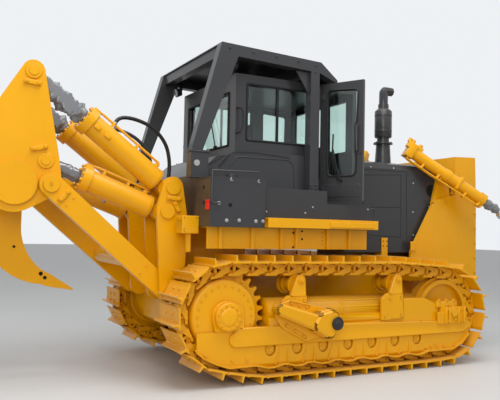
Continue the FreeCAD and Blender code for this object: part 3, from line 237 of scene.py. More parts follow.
def painted(name, paint, worn=(0.22, 0.20, 0.18), gloss=0.28, wear=0.25, dust=0.25, metallic=0.0,
            edge=0.004, coat=0.08, bump=0.12):
    """A sprayed finish whose sharp edges are rounded and worn by a few millimetres."""
    material = bpy.data.materials.new(name)
    material.use_nodes = True
    tree, links = material.node_tree, material.node_tree.links
    shader = tree.nodes["Principled BSDF"]
    coats = tree.nodes.new("ShaderNodeGroup")
    coats.node_tree = SPRAYED
    # columns: node, its input, value
    for node, entry, value in ((shader, "Metallic", metallic), (shader, "Coat Weight", coat),
                               (shader, "Coat Roughness", 0.12), (shader, "Specular IOR Level", 0.28),
                               (coats, "Paint", (*paint, 1)), (coats, "Worn", (*worn, 1)),
                               (coats, "Wear", wear), (coats, "Dust amount", dust), (coats, "Gloss", gloss)):
        node.inputs[entry].default_value = value
    rounded = add_node(tree, "Bevel", Radius=edge)
    rounded.samples = 4
    face = add_node(tree, "NewGeometry")
    turned = add_node(tree, "VectorMath")
    turned.operation = "DOT_PRODUCT"
    links.new(rounded.outputs["Normal"], turned.inputs[0])
    links.new(face.outputs["Normal"], turned.inputs[1])
    off = add_math(tree, "SUBTRACT", 1.0, turned.outputs["Value"], clamp=True)
    links.new(add_math(tree, "MULTIPLY", off, 6.0, clamp=True), coats.inputs["Edge"])
    links.new(coats.outputs["Colour"], shader.inputs["Base Color"])
    links.new(coats.outputs["Roughness"], shader.inputs["Roughness"])
    uneven = add_node(tree, "Bump", Strength=bump, Distance=0.002)
    links.new(coats.outputs["Height"], uneven.inputs["Height"])
    links.new(rounded.outputs["Normal"], uneven.inputs["Normal"])
    links.new(uneven.outputs["Normal"], shader.inputs["Normal"])
    return material


def coat(material, *names):
    """Gives CAD nodes one finish all over."""
    for name in names:
        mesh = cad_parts[name].data
        mesh.materials.clear()
        mesh.materials.append(material)
        for face in mesh.polygons:
            face.material_index = 0


yellow = painted("yellow_enamel", YELLOW, wear=0.10)
grey = painted("grey_enamel", GREY, gloss=0.30, wear=0.12, dust=0.12, coat=0.15)
black = painted("black_plastic", (0.015, 0.015, 0.016), gloss=0.5, coat=0.0, dust=0.1)
coat(yellow, "hull", "belly_guard", "deck_frame", "equalizer_bar")


def new_piece(name, bm, body, material, smooth=False, weld=True):
    """Makes a bmesh a piece of the machine that rides on one of its bodies."""
    if weld:
        bmesh.ops.remove_doubles(bm, verts=bm.verts, dist=0.00001)
        bmesh.ops.recalc_face_normals(bm, faces=bm.faces)
    mesh = bpy.data.meshes.new(name)
    bm.to_mesh(mesh)
    bm.free()
    if smooth:
        for face in mesh.polygons:
            face.use_smooth = True
        mesh.set_sharp_from_angle(angle=math.radians(35))
    mesh.materials.append(material)
    piece = bpy.data.objects.new(name, mesh)
    scene.collection.objects.link(piece)
    if body:
        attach(piece, body)
    return piece


def turned_to(axis):
    """A rotation that takes the upright direction to an axis."""
    return Vector((0, 0, 1)).rotation_difference(Vector(axis)).to_matrix().to_4x4()


def add_rod(bm, start, end, radius, end_radius=None, sides=24):
    """A closed round or many-sided rod between two points, in metres."""
    length = (end - start).length
    matrix = Matrix.Translation((start + end) / 2) @ turned_to(end - start)
    return bmesh.ops.create_cone(bm, cap_ends=True, segments=sides, radius1=radius,
                                 radius2=radius if end_radius is None else end_radius,
                                 depth=length, matrix=matrix)["verts"]


def add_block(bm, corner, opposite, edge=0.0):
    """A block between two corners, in metres, with its edges broken."""
    size = opposite - corner
    matrix = Matrix.Translation((corner + opposite) / 2) @ Matrix.Diagonal((*[abs(v) for v in size], 1))
    verts = bmesh.ops.create_cube(bm, size=1, matrix=matrix)["verts"]
    if edge:
        edges = list({e for v in verts for e in v.link_edges})
        bmesh.ops.bevel(bm, geom=edges, offset=edge, segments=2, affect="EDGES", profile=0.5, material=-1)
    return verts


def add_bolt(bm, place, axis, across=0.030, height=0.016):
    """A hexagon head on its washer, standing on a face."""
    axis = Vector(axis).normalized()
    add_rod(bm, place - axis * 0.002, place + axis * 0.004, across * 0.68, sides=16)
    add_rod(bm, place, place + axis * height, across * 0.577, across * 0.55, sides=6)


def both_sides(bm):
    """Adds the mirror image of everything on the machine's other side."""
    bmesh.ops.mirror(bm, geom=bm.verts[:] + bm.edges[:] + bm.faces[:], axis="Y", merge_dist=-1)


# Tracks: forged links in two rows on pins and bushings, with one rolled single-grouser shoe
# bolted to each pair by four bolts. Sprayed yellow; the grousers' tips are scraped to steel.
SHOE_COUNT = 41
TRACK_Y = 1070
SHOE_WIDTH = 560
GROUND_PIN_Z = 155
SPROCKET_PIN_RADIUS = 496
IDLER_X, IDLER_Z = 3118, 665
IDLER_PIN_RADIUS = 496
ROLLER_FIRST_X, ROLLER_PITCH, ROLLER_COUNT = 545, 347, 7
FLAT_PAST_ROLLERS = 130
CARRIERS = ((900, 1226), (2290, 1218))


def touching(point, centre, radius, side):
    distance = math.hypot(point[0] - centre[0], point[1] - centre[1])
    angle = math.atan2(point[1] - centre[1], point[0] - centre[0]) + side * math.acos(radius / distance)
    return (centre[0] + radius * math.cos(angle), centre[1] + radius * math.sin(angle))


def around(centre, radius, start, end):
    first = math.atan2(start[1] - centre[1], start[0] - centre[0])
    last = math.atan2(end[1] - centre[1], end[0] - centre[0])
    turn = -((first - last) % (2 * math.pi))
    steps = 48
    return [(centre[0] + radius * math.cos(first + turn * i / steps),
             centre[1] + radius * math.sin(first + turn * i / steps)) for i in range(steps + 1)]


def track_pins():
    """The pins' places in x and z, evenly spaced along the loop, as the CAD track has them."""
    sprocket = (0, SPROCKET_Z * 1000)
    idler = (IDLER_X, IDLER_Z)
    last = ROLLER_FIRST_X + (ROLLER_COUNT - 1) * ROLLER_PITCH
    rear = (ROLLER_FIRST_X - FLAT_PAST_ROLLERS, GROUND_PIN_Z)
    front = (last + FLAT_PAST_ROLLERS, GROUND_PIN_Z)
    path = around(sprocket, SPROCKET_PIN_RADIUS, touching(rear, sprocket, SPROCKET_PIN_RADIUS, -1),
                  touching(CARRIERS[0], sprocket, SPROCKET_PIN_RADIUS, 1))
    path += CARRIERS
    path += around(idler, IDLER_PIN_RADIUS, touching(CARRIERS[1], idler, IDLER_PIN_RADIUS, -1),
                   touching(front, idler, IDLER_PIN_RADIUS, 1))
    path += [front, rear, path[0]]
    spans = [math.dist(start, end) for start, end in zip(path, path[1:])]
    pins = []
    for index in range(SHOE_COUNT):
        wanted = sum(spans) * (index + 0.5) / SHOE_COUNT
        for start, end, span in zip(path, path[1:], spans):
            if wanted <= span:
                share = wanted / span
                pins.append((start[0] + share * (end[0] - start[0]), start[1] + share * (end[1] - start[1])))
                break
            wanted -= span
    return pins


def push_out(bm, points, by):
    """A solid swept from a flat face by a vector; gives back its vertices."""
    verts = [bm.verts.new(point) for point in points]
    pushed = bmesh.ops.extrude_face_region(bm, geom=[bm.faces.new(verts)])["geom"]
    moved = [part for part in pushed if isinstance(part, bmesh.types.BMVert)]
    bmesh.ops.translate(bm, verts=moved, vec=by)
    return verts + moved


def add_outline(bm, points, low_y, high_y, edge=0.0):
    """A plate whose outline is given in x and z, in metres, between two planes across the machine."""
    verts = push_out(bm, [(x, low_y, z) for x, z in points], (0, high_y - low_y, 0))
    if edge:
        rims = list({e for v in verts for e in v.link_edges})
        bmesh.ops.bevel(bm, geom=rims, offset=edge, segments=1, affect="EDGES", profile=0.5, material=-1)
    return verts


def rounded_outline(circles, steps=6):
    """Points of an outline that wraps circles given as x, z, radius, all in one unit, anticlockwise."""
    points = []
    for index, (x, z, radius) in enumerate(circles):
        ways = []
        for other in (circles[index - 1], circles[(index + 1) % len(circles)]):
            dx, dz = other[0] - x, other[1] - z
            ways.append((math.atan2(dz, dx), math.hypot(dx, dz), other[2]))
        to_last, to_next = ways
        start = to_last[0] + math.acos((radius - to_last[2]) / to_last[1])
        end = to_next[0] - math.acos((radius - to_next[2]) / to_next[1])
        turn = (end - start) % (2 * math.pi)
        for step in range(steps + 1):
            angle = start + turn * step / steps
            points.append((x + radius * math.cos(angle), z + radius * math.sin(angle)))
    return points


def one_shoe_and_links(pitch):
    """One pitch of the track, lying along x with its rear pin at the origin, in metres."""
    bm = bmesh.new()
    worn = bm.verts.layers.float.new("worn")
    half = pitch / 2
    top = 0.083
    bottom = 0.065
    # columns: place along the shoe from its middle, height over the pins
    profile = ((0.012 - half, top), (0.009 - half, bottom + 0.004), (0.020 - half, bottom),
               (half - 0.028, bottom), (half + 0.010, bottom + 0.012), (half + 0.010, top + 0.008),
               (half - 0.020, top), (-0.040, top), (-0.046, top + 0.012), (-0.050, top + 0.068),
               (-0.053, top + 0.0719), (-0.063, top + 0.0719), (-0.066, top + 0.068),
               (-0.070, top + 0.012), (-0.076, top))
    shoe = add_outline(bm, [(half + x, z) for x, z in profile], -SHOE_WIDTH / 2000, SHOE_WIDTH / 2000)
    for vert in shoe:
        if vert.co.z > top + 0.05:
            vert[worn] = 1.0
    for side in (1, -1):
        # columns: pin, near and far face of the eye round it, its radius
        for x, near, far, radius in ((0.0, 0.040, 0.084, 0.051), (pitch, 0.086, 0.122, 0.050)):
            inward = 1 if x < half else -1
            low_y, high_y = sorted((side * near, side * far))
            add_rod(bm, Vector((x, low_y, 0)), Vector((x, high_y, 0)), radius, sides=20)
            # columns: height of the arm at the eye, radius there, reach, height and radius at its end
            for start_z, wide, reach, end_z, narrow in ((-0.012, 0.038, half + 0.010, -0.060, 0.018),
                                                        (0.014, 0.036, half + 0.010, 0.052, 0.012)):
                circles = [(x, start_z, wide), (x + inward * reach, end_z, narrow)]
                add_outline(bm, rounded_outline(circles, 8), low_y + 0.002, high_y - 0.002)
        low_y, high_y = sorted((side * 0.052, side * 0.116))
        rail = [(half + x, z) for x, z in ((-0.070, -0.079), (0.070, -0.079), (0.078, -0.060),
                                           (0.062, -0.046), (-0.062, -0.046), (-0.078, -0.060))]
        add_outline(bm, rail, low_y, high_y, edge=0.004)
        add_block(bm, Vector((half - 0.016, low_y + 0.012, -0.055)),
                  Vector((half + 0.016, high_y - 0.012, 0.055)), 0.004)
        add_block(bm, Vector((half - 0.064, low_y, 0.044)), Vector((half + 0.064, high_y, 0.0655)), 0.003)
        add_rod(bm, Vector((pitch, side * 0.118, 0)), Vector((pitch, side * 0.130, 0)), 0.024, 0.022)
        add_rod(bm, Vector((pitch, side * 0.118, 0)), Vector((pitch, side * 0.125, 0)), 0.033, 0.030)
        for x in (half - 0.042, half + 0.042):
            add_bolt(bm, Vector((x + 0.006, side * 0.084, top)), (0, 0, 1), across=0.030, height=0.014)
    add_rod(bm, Vector((0, -0.060, 0)), Vector((0, 0.060, 0)), 0.034)
    bmesh.ops.recalc_face_normals(bm, faces=bm.faces)
    return bm


PINS = track_pins()
pitch = math.dist(PINS[0], PINS[1]) / 1000
unit = one_shoe_and_links(pitch)
unit_mesh = bpy.data.meshes.new("one_pitch")
unit.to_mesh(unit_mesh)
unit.free()

track_paint = painted("track_enamel", YELLOW, worn=(0.33, 0.31, 0.29), gloss=0.36, wear=0.45, dust=0.45)
links = track_paint.node_tree.links
scraped = add_node(track_paint.node_tree, "Attribute")
scraped.attribute_name = "worn"
group = next(node for node in track_paint.node_tree.nodes if node.type == "GROUP")
edges = group.inputs["Edge"].links[0].from_socket
links.new(add_math(track_paint.node_tree, "MULTIPLY_ADD", scraped.outputs["Fac"], 0.9, edges),
          group.inputs["Edge"])

for side, name in ((-1, "track_right"), (1, "track_left")):
    bm = bmesh.new()
    for start, end in zip(PINS, PINS[1:] + PINS[:1]):
        along = Vector((end[0] - start[0], 0, end[1] - start[1])).normalized()
        out = Vector((-along.z, 0, along.x))
        turn = Matrix((along, out.cross(along), out)).transposed().to_4x4()
        placed = Matrix.Translation(mm(start[0], side * TRACK_Y, start[1])) @ turn
        unit_mesh.transform(placed)
        bm.from_mesh(unit_mesh)
        unit_mesh.transform(placed.inverted())
    piece = new_piece(name + "_links", bm, "machine", track_paint, weld=False)
    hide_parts(name)

# What the tracks run on: sprockets, idlers and rollers are castings in the same enamel. The
# frame's side is a pressed beam over a thin guard sheet, cut out round the rollers' ends.
coat(yellow, "sprockets", "idlers", "rollers_left", "rollers_right")
SHEET_FACE, ROLLER_Z = 1257, 352
LOW_Z, LIP, LIP_FACE = 191, 16, 1297
flip = Matrix.Scale(-1, 4, (0, 1, 0))


def carve(bm, cutters):
    """Takes one closed bmesh away from another and gives back what is left."""
    pair = []
    for part in (bm, cutters):
        bmesh.ops.remove_doubles(part, verts=part.verts, dist=0.00001)
        bmesh.ops.recalc_face_normals(part, faces=part.faces)
        mesh = bpy.data.meshes.new("carving")
        part.to_mesh(mesh)
        part.free()
        pair.append(bpy.data.objects.new("carving", mesh))
        scene.collection.objects.link(pair[-1])
    cut = pair[0].modifiers.new("cut", "BOOLEAN")
    cut.operation = "DIFFERENCE"
    cut.solver = "EXACT"
    cut.use_self = True
    cut.object = pair[1]
    left = bpy.data.meshes.new_from_object(pair[0].evaluated_get(bpy.context.evaluated_depsgraph_get()))
    for helper in pair:
        bpy.data.meshes.remove(helper.data)
    result = bmesh.new()
    result.from_mesh(left)
    bpy.data.meshes.remove(left)
    return result


def flat(points):
    """Places in x and z, in millimetres, as an outline in metres."""
    return [tuple(mm(x, 0, z).xz) for x, z in points]


def bent_strip(bm, points, thick, near, far):
    """A bent strip whose lower edge is given in x and z; all in millimetres."""
    line = flat(points)
    top = [(x, z + thick / 1000) for x, z in reversed(line)]
    add_outline(bm, line + top, near / 1000, far / 1000)


def hull_of(circles, steps=8):
    """An outline in metres round circles given in millimetres."""
    return flat(rounded_outline(circles, steps))


def add_peg(bm, x, z, near, far, radius, end_radius=None, sides=24):
    """A rod straight across the machine; its place in millimetres, its radius in metres."""
    add_rod(bm, mm(x, near, z), mm(x, far, z), radius, end_radius, sides)


ROLLERS = [ROLLER_FIRST_X + ROLLER_PITCH * index for index in range(ROLLER_COUNT)]
wave = [(352, LOW_Z)]
for x in ROLLERS:
    wave += [(x - 40, LOW_Z - 34), (x + 40, LOW_Z - 34)]
    if x + 205 < 2730:
        wave += [(x + 140, LOW_Z - 10), (x + 205, LOW_Z - 10)]
wave.append((2790, LOW_Z))
rear_line = [(-345, 375), (-263, 307), (-113, 235), (39, 187), (352, LOW_Z)]
front_line = [(2790, LOW_Z), (3184, LOW_Z), (3358, 262), (3478, 375)]

for side in ("left", "right"):
    name = "track_frame_" + side
    bm = bmesh.new()
    bm.from_mesh(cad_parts[name].data)
    if side == "right":
        bm.transform(flip)
    cutters = bmesh.new()
    add_block(cutters, mm(-420, SHEET_FACE, 90), mm(3570, 1420, 616))
    bm = carve(bm, cutters)
    cutters = bmesh.new()
    for x in ROLLERS:
        arch = [(x + 68 * math.cos(turn), ROLLER_Z + 68 * math.sin(turn))
                for turn in (math.pi + math.pi * step / 16 for step in range(17))]
        add_outline(cutters, flat(arch + [(x + 68, 400), (x - 68, 400)]), 1.225, 1.300)
    bm = carve(bm, cutters)
    for line in (wave + [(2790, 215), (352, 215)], rear_line + [(352, 402), (-345, 402)],
                 front_line + [(3478, 402), (2790, 402)]):
        add_outline(bm, flat(line), 1.235, 1.2565)
    for line in (rear_line, wave, front_line):
        bent_strip(bm, line, LIP, 1235, LIP_FACE)
    for x in ROLLERS[:-1]:
        for high, low in ((126, 52), (215, 210)):
            fin = (mm(x + high, 1256, 385), mm(x + low, 1256, LOW_Z), mm(x + low, 1283, LOW_Z))
            push_out(bm, fin, (0.010, 0, 0))
    beam = ((120, 480, 82), (3368, 440, 40), (3478, 502, 40), (2672, 552, 20), (800, 590, 20), (180, 580, 28))
    add_outline(bm, hull_of(beam), 1.240, 1.285, edge=0.012)
    for x, z in CARRIERS:
        centre = z - 177
        foot = ((x - 235, 606), (x + 95, 606), (x + 95, centre - 115), (x - 160, centre - 115),
                (x - 235, centre - 175))
        add_outline(bm, flat(foot), 1.235, 1.281, edge=0.006)
        clamp = ((x - 110, centre - 115, 14), (x + 66, centre - 115, 14), (x + 8, centre + 55, 62))
        add_outline(bm, hull_of(clamp), 1.235, 1.291, edge=0.010)
        add_peg(bm, x + 8, centre + 55, 1280, 1303, 0.042)
    idler_block = ((2928, 525), (3386, 525), (3386, 733), (3030, 733), (3030, 673), (2928, 673))
    add_outline(bm, flat(idler_block), 1.280, 1.307, edge=0.004)
    for x in (3030, 3092, 3246, 3340):
        add_block(bm, mm(x, 1300, 525), mm(x + 30, 1335, 733), 0.005)
    add_peg(bm, 3184, 665, 1300, 1335, 0.058, 0.054)
    add_block(bm, mm(2928, 1239, 728), mm(3268, 1279, 805), 0.006)
    drive_side = ((-120, 580, 10), (206, 580, 10), (196, 819, 10), (0, 735, 162))
    add_outline(bm, hull_of(drive_side), 1.250, 1.273, edge=0.006)
    spring_cover = ((2415, 570), (2998, 570), (2978, 770), (2748, 855), (2415, 855))
    add_outline(bm, flat(spring_cover), 1.205, 1.251, edge=0.010)
    add_block(bm, mm(2415, 1072, 828), mm(2662, 1215, 855), 0.006)
    if side == "right":
        bm.transform(flip)
    piece = new_piece(name + "_sheets", bm, "machine", yellow, smooth=True)
    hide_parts(name)

# Final drives: turned steel cases beside the sprockets, with rounded covers and a hub cap, in
# the same enamel.
DRIVE_Z = 735
# columns: radius and distance from the middle plane of the drive's outline
DRIVE = ((0, 450), (325, 450), (325, 960), (360, 960), (360, 1028), (315, 1028), (315, 1112), (385, 1112),
         (385, 1193), (380, 1211), (367, 1224), (349, 1229), (152, 1229), (148, 1233), (148, 1333),
         (140, 1341), (98, 1341), (90, 1349), (70, 1353), (0, 1353))


def turn_line(bm, line, centre, axis, steps):
    """Turns a line of points, in metres, round an axis into a closed part."""
    verts = [bm.verts.new(point) for point in line]
    edges = [bm.edges.new(pair) for pair in zip(verts, verts[1:])]
    bmesh.ops.spin(bm, geom=verts + edges, cent=centre, axis=axis, angle=2 * math.pi, steps=steps,
                   use_merge=True)


bm = bmesh.new()
turn_line(bm, [mm(radius, y, DRIVE_Z) for radius, y in DRIVE], mm(0, 0, DRIVE_Z), (0, 1, 0), 72)
both_sides(bm)
piece = new_piece("final_drive_covers", bm, "machine", yellow, smooth=True)
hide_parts("final_drives")

# Trunnion brackets: thick steel castings bolted to the beams of the track frames through two
# sunk pads. Each ends in a greased ball, bare here, for the socket of a push arm.
dark_steel = painted("greased_steel", (0.05, 0.047, 0.045), gloss=0.35, metallic=0.7, coat=0.0, dust=0.1)
BALL = (1270, 1435, 632)
# columns: x and z from the ball, radius of the flange's corners
FLANGE = ((-590, -20, 34), (-300, -172, 36), (60, -85, 50), (62, 75, 50), (-510, 222, 40), (-700, 160, 40))
# columns: x and z from the ball of a pad's rear and front end
PADS = (((-515, 222), (-278, 170)), ((-572, -12), (-312, -160)))


def by_ball(circles):
    """An outline in metres round circles whose places are given from the ball."""
    return hull_of([(BALL[0] + x, BALL[2] + z, radius) for x, z, radius in circles])


bm = bmesh.new()
add_outline(bm, by_ball(FLANGE), 1.284, 1.317, edge=0.006)
pockets = bmesh.new()
for pad in PADS:
    add_outline(pockets, by_ball([(x, z, 22) for x, z in pad]), 1.303, 1.330)
bm = carve(bm, pockets)
add_outline(bm, by_ball(((-700, 172, 64), (-210, -20, 70), (-160, 8, 70))), 1.310, 1.452, edge=0.024)
for grow, far in ((0, 1.430), (-12, 1.478)):
    head = ((-230, -20, 70 + grow), (-75, -84, 92 + grow), (-42, 62, 96 + grow), (-170, 52, 78 + grow))
    add_outline(bm, by_ball(head), 1.310, far, edge=0.020)
both_sides(bm)
piece = new_piece("trunnion_castings", bm, "machine", yellow, smooth=True)
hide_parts("trunnions")
bm = bmesh.new()
place = Matrix.Translation(mm(*BALL))
bmesh.ops.create_uvsphere(bm, u_segments=32, v_segments=20, radius=0.082, matrix=place)
add_peg(bm, BALL[0], BALL[2], 1490, 1504, 0.076, 0.070, sides=32)
both_sides(bm)
new_piece("trunnion_balls", bm, "machine", dark_steel, smooth=True)


# Bolts of the undercarriage: hexagon heads of steel on washers, painted over with the rest, and
# the two rings round each spring tube.
def ring(count, first=0):
    """Cosine and sine of evenly spaced turns; the first in degrees."""
    turns = [math.radians(360 * step / count + first) for step in range(count)]
    return [(math.cos(turn), math.sin(turn)) for turn in turns]


def side_bolts(bm, places, y, across=0.030, height=0.018):
    """Bolts at places in x and z on a face that looks out from the machine at the distance y."""
    for x, z in places:
        add_bolt(bm, mm(x, y, z), (0, 1, 0), across, height)


bm = bmesh.new()
# columns: bolts, turn of the first, radius of the circle, face, width and height of a head
for count, first, radius, y, across, height in ((12, 15, 122, 1341, 0.026, 0.014),
                                                (27, 0, 413, 1112, 0.024, 0.012),
                                                (24, 0, 318, 1229, 0.022, 0.010)):
    side_bolts(bm, [(radius * c, DRIVE_Z + radius * s) for c, s in ring(count, first)], y, across, height)
side_bolts(bm, ((-230, 345), (-90, 248), (84, 267), (257, 270), (2850, 254), (2945, 259), (3064, 249),
                (3235, 245)), SHEET_FACE)
for x in ROLLERS:
    add_peg(bm, x, ROLLER_Z, 1225, 1246, 0.046)
    add_bolt(bm, mm(x, 1246, ROLLER_Z), (0, 1, 0), 0.036, 0.014)
for start, end in PADS:
    side_bolts(bm, [(BALL[0] + start[0] + share * (end[0] - start[0]),
                     BALL[2] + start[1] + share * (end[1] - start[1])) for share in (0.08, 0.5, 0.92)],
               1303, 0.028, 0.018)
side_bolts(bm, [(BALL[0] + x, BALL[2] + z) for x, z in ((74, 80), (82, 15), (82, -50), (58, -100))],
           1317, 0.026, 0.016)
for x, z in CARRIERS:
    side_bolts(bm, ((x - 190, 660), (x + 60, 660), (x - 120, 870), (x + 55, 870)), 1281)
    side_bolts(bm, ((x + 8, z - 122),), 1303, 0.040)
for x in (2975, 3098, 3222):
    add_rod(bm, mm(x, 1259, 803), mm(x, 1259, 812), 0.034)
    add_bolt(bm, mm(x, 1259, 812), (0, 0, 1), 0.036, 0.022)
side_bolts(bm, ((3076, 560), (3076, 700), (3205, 575), (3306, 560), (3306, 700)), 1307)
for x in (1500, 1535):
    add_rod(bm, mm(x, 1070, 750), mm(x + 14, 1070, 750), 0.154, sides=48)
both_sides(bm)
new_piece("undercarriage_bolts", bm, "machine", yellow, smooth=True)

# Deck and boxes: the yellow deck carries the fuel tank, battery and tool boxes in grey sheet and
# the folded yellow steps. Bent tubes make the rails, and the sheets are held with bright bolts.
coat(grey, "side_boxes_left", "side_boxes_right", "fuel_tank")
coat(yellow, "steps")
# A glossy black that is painted shade: it stands in for the shade inside holes, in the seams round the hood's
# doors and in the exhaust's mouth.
hole_shade = painted("painted_hole_shade", (0.006, 0.006, 0.006), gloss=0.9, coat=0.0, dust=0.0, bump=0.0)
zinc = painted("zinc_bolts", (0.42, 0.41, 0.39), gloss=0.4, metallic=0.6, coat=0.0, dust=0.1)


def tube_mesh(points, radius, rounds, steps, closed=False, bent=True):
    """A round pipe, or with no radius its centre line, on one smooth curve through points."""
    curve = bpy.data.curves.new("pipe", "CURVE")
    curve.dimensions = "3D"
    curve.bevel_depth = radius
    curve.bevel_resolution = rounds
    curve.use_fill_caps = True
    spline = curve.splines.new("NURBS" if bent else "POLY")
    spline.points.add(len(points) - 1)
    for spot, place in zip(spline.points, points):
        spot.co = (*place, 1)
    if bent:
        spline.order_u = 3
        spline.use_endpoint_u = not closed
        spline.resolution_u = steps
    spline.use_cyclic_u = closed
    holder = bpy.data.objects.new("pipe", curve)
    mesh = bpy.data.meshes.new_from_object(holder)
    bpy.data.objects.remove(holder)
    bpy.data.curves.remove(curve)
    return mesh


def add_tube(bm, points, radius, bend=0.0, closed=False):
    """A round pipe through points, in metres, with its corners rounded over the length given as bend."""
    way = []
    for index, corner in enumerate(points):
        if not closed and index in (0, len(points) - 1):
            way.append(corner)
            continue
        for other in (points[index - 1], corner, points[(index + 1) % len(points)]):
            reach = min(bend, (other - corner).length * 0.45)
            way.append(corner + (other - corner).normalized() * reach if other != corner else corner)
    mesh = tube_mesh(way, radius, 2, 3, closed, bent=bend > 0)
    bm.from_mesh(mesh)
    bpy.data.meshes.remove(mesh)


bm = bmesh.new()
rail = [mm(-130, 1288, 1929), mm(-130, 1322, 1929), mm(-227, 1322, 1925), mm(-226, 1322, 2271),
        mm(349, 1322, 2279), mm(345, 1322, 2183), mm(345, 1288, 2183)]
add_tube(bm, rail, 0.009, bend=0.035)
add_tube(bm, [mm(13, 1322, 2275), mm(13, 1318, 2187), mm(13, 1288, 2187)], 0.008, bend=0.02)
latch = [mm(1925, 1165, 1940), mm(2019, 1165, 1944), mm(2021, 1165, 1812), mm(1925, 1165, 1808)]
add_tube(bm, latch, 0.008, bend=0.02)
add_rod(bm, mm(90, 1130, 2209), mm(90, 1130, 2250), 0.062)
add_rod(bm, mm(90, 1130, 2249), mm(90, 1130, 2262), 0.050)
emboss = [mm(99, 871, 2190), mm(99, 871, 2266), mm(272, 871, 2486), mm(957, 871, 2495),
          mm(1030, 871, 2441), mm(1046, 871, 2172)]
add_tube(bm, emboss, 0.007, bend=0.05)
teeth = [mm(60, 866, 2351), mm(214, 866, 2533), mm(500, 866, 2546), mm(1000, 866, 2514)]
for start, end in zip(teeth, teeth[1:]):
    way = (end - start).normalized()
    up = Vector((-way.z, 0, way.x))
    for step in range(int((end - start).length / 0.022)):
        foot = start + way * 0.022 * step
        push_out(bm, (foot, foot + way * 0.016, foot + way * 0.008 + up * 0.018), (0, 0.016, 0))
both_sides(bm)
new_piece("box_rails", bm, "machine", grey, smooth=True)

bm = bmesh.new()
for x, z in ((-35, 1749), (113, 1753), (315, 1748), (403, 1750), (13, 2187), (345, 2183), (-130, 1929)):
    add_peg(bm, x, z, 1289, 1294, 0.020)
    add_peg(bm, x, z, 1294, 1303, 0.013, 0.009)
for x, z in ((500, 1860), (1010, 1860), (1110, 1930), (1900, 1930)):
    add_peg(bm, x, z, 1184, 1194, 0.013, 0.009)
add_peg(bm, -272, 2369, 994, 1010, 0.034)
# columns: rivets of the hood in x and z
for x, z in ((3163, 2351), (3161, 1951), (3171, 1632), (3454, 2038), (2426, 2530), (2814, 2537)):
    add_peg(bm, x, z, 559, 565, 0.013, 0.008, sides=12)
both_sides(bm)
new_piece("bright_bolts", bm, "machine", zinc, smooth=True)

# Painted shade: thin black discs stand in for the shade inside holes in the boxes, tanks and hood, and thin
# black strips for the shade in the seams round the hood's doors.
bm = bmesh.new()
# columns: x, z, radius, plane across the machine
for x, z, radius, y in ((4, 1913, 22, 1290), (889, 1632, 13, 1130), (1005, 1653, 13, 1130),
                        (1007, 1561, 13, 1130), (888, 1468, 13, 1130), (3480, 2262, 82, 560),
                        (2640, 1545, 9, 575), (2700, 1545, 9, 575), (2640, 1480, 9, 575),
                        (2700, 1480, 9, 575)):
    add_peg(bm, x, z, y - 1, y + 1, radius / 1000)
for x in (1283, 1341):
    for z in (1633, 1589, 1545, 1500):
        add_peg(bm, x, z, 1129, 1131, 0.006, sides=10)
# columns: first and last end, in x and z, of the seams round the hood's doors
for start, end in (((2303, 2416), (2940, 2453)), ((2940, 2453), (2950, 1599)), ((2303, 1990), (2945, 2010)),
                   ((2303, 2416), (2312, 1630)), ((2312, 1630), (2950, 1599)), ((2030, 2490), (3040, 2500)),
                   ((3040, 2500), (3052, 1420))):
    first, last = mm(start[0], 0, start[1]), mm(end[0], 0, end[1])
    way = (last - first).normalized() * 0.003
    up = Vector((-way.z, 0, way.x))
    seam = [tuple(corner.xz) for corner in (first - up, last - up, last + up, first + up)]
    add_outline(bm, seam, 0.5598, 0.5606)
for y, z in ((1110, 2100), (1120, 1935)):
    add_rod(bm, mm(-231, y, z), mm(-229, y, z), 0.020)
both_sides(bm)
new_piece("painted_shade_openings", bm, "machine", hole_shade)

# Behind each tank is a box of thick yellow plate, welded up, with long slots to the rear and a
# square post below it.
bm = bmesh.new()
holes = bmesh.new()
add_block(bm, mm(-420, 800, 1600), mm(-226, 1000, 1795), 0.010)
add_block(holes, mm(-406, 814, 1614), mm(-200, 986, 1781))
for y in (860, 940):
    add_block(holes, mm(-430, y - 22, 1645), mm(-400, y + 22, 1750), 0.014)
for x, z in ((-395, 1772), (-250, 1772), (-395, 1622), (-395, 1650)):
    add_peg(holes, x, z, 980, 1010, 0.007, sides=12)
bm = carve(bm, holes)
add_block(bm, mm(-345, 900, 1400), mm(-295, 950, 1604), 0.006)
both_sides(bm)
new_piece("tank_brackets", bm, "machine", yellow)

# The steps have a second lip and raised dimples for grip. Red reflectors sit on the rear
# walls of the tanks.
bm = bmesh.new()
add_block(bm, mm(1244, 1344, 1700), mm(1872, 1362, 1762), 0.004)
for row in range(4):
    for step in range(34):
        add_rod(bm, mm(470 + 41 * step + 20 * (row % 2), 1215 + 30 * row, 1789),
                mm(470 + 41 * step + 20 * (row % 2), 1215 + 30 * row, 1793), 0.008, 0.006)
both_sides(bm)
new_piece("step_grips", bm, "machine", yellow)
red = painted("red_reflector", (0.75, 0.01, 0.015), gloss=0.15, wear=0.0, dust=0.05)
bm = bmesh.new()
add_block(bm, mm(-246, 1200, 1858), mm(-229, 1282, 1962), 0.004)
both_sides(bm)
new_piece("red_reflectors", bm, "machine", red)

# Cab: welded sheet in grey enamel inside the grey roof frame, with panes of tinted glass held in
# black rubber, grab handles of bent tube and work lamps under the roof.
coat(grey, "cab_shell", "rops", "door_left", "door_right")
coat(black, "controls")
glass = bpy.data.materials.new("tinted_glass")
glass.use_nodes = True
shader = glass.node_tree.nodes["Principled BSDF"]
shader.inputs["Base Color"].default_value = (0.74, 0.87, 0.83, 1)
shader.inputs["Roughness"].default_value = 0.03
shader.inputs["Transmission Weight"].default_value = 1.0
shader.inputs["IOR"].default_value = 1.45
coat(glass, "cab_glass", "door_left_glass", "door_right_glass")
rubber = painted("rubber_seal", (0.012, 0.012, 0.012), gloss=0.6, coat=0.0, wear=0.0, dust=0.15)

bm = bmesh.new()
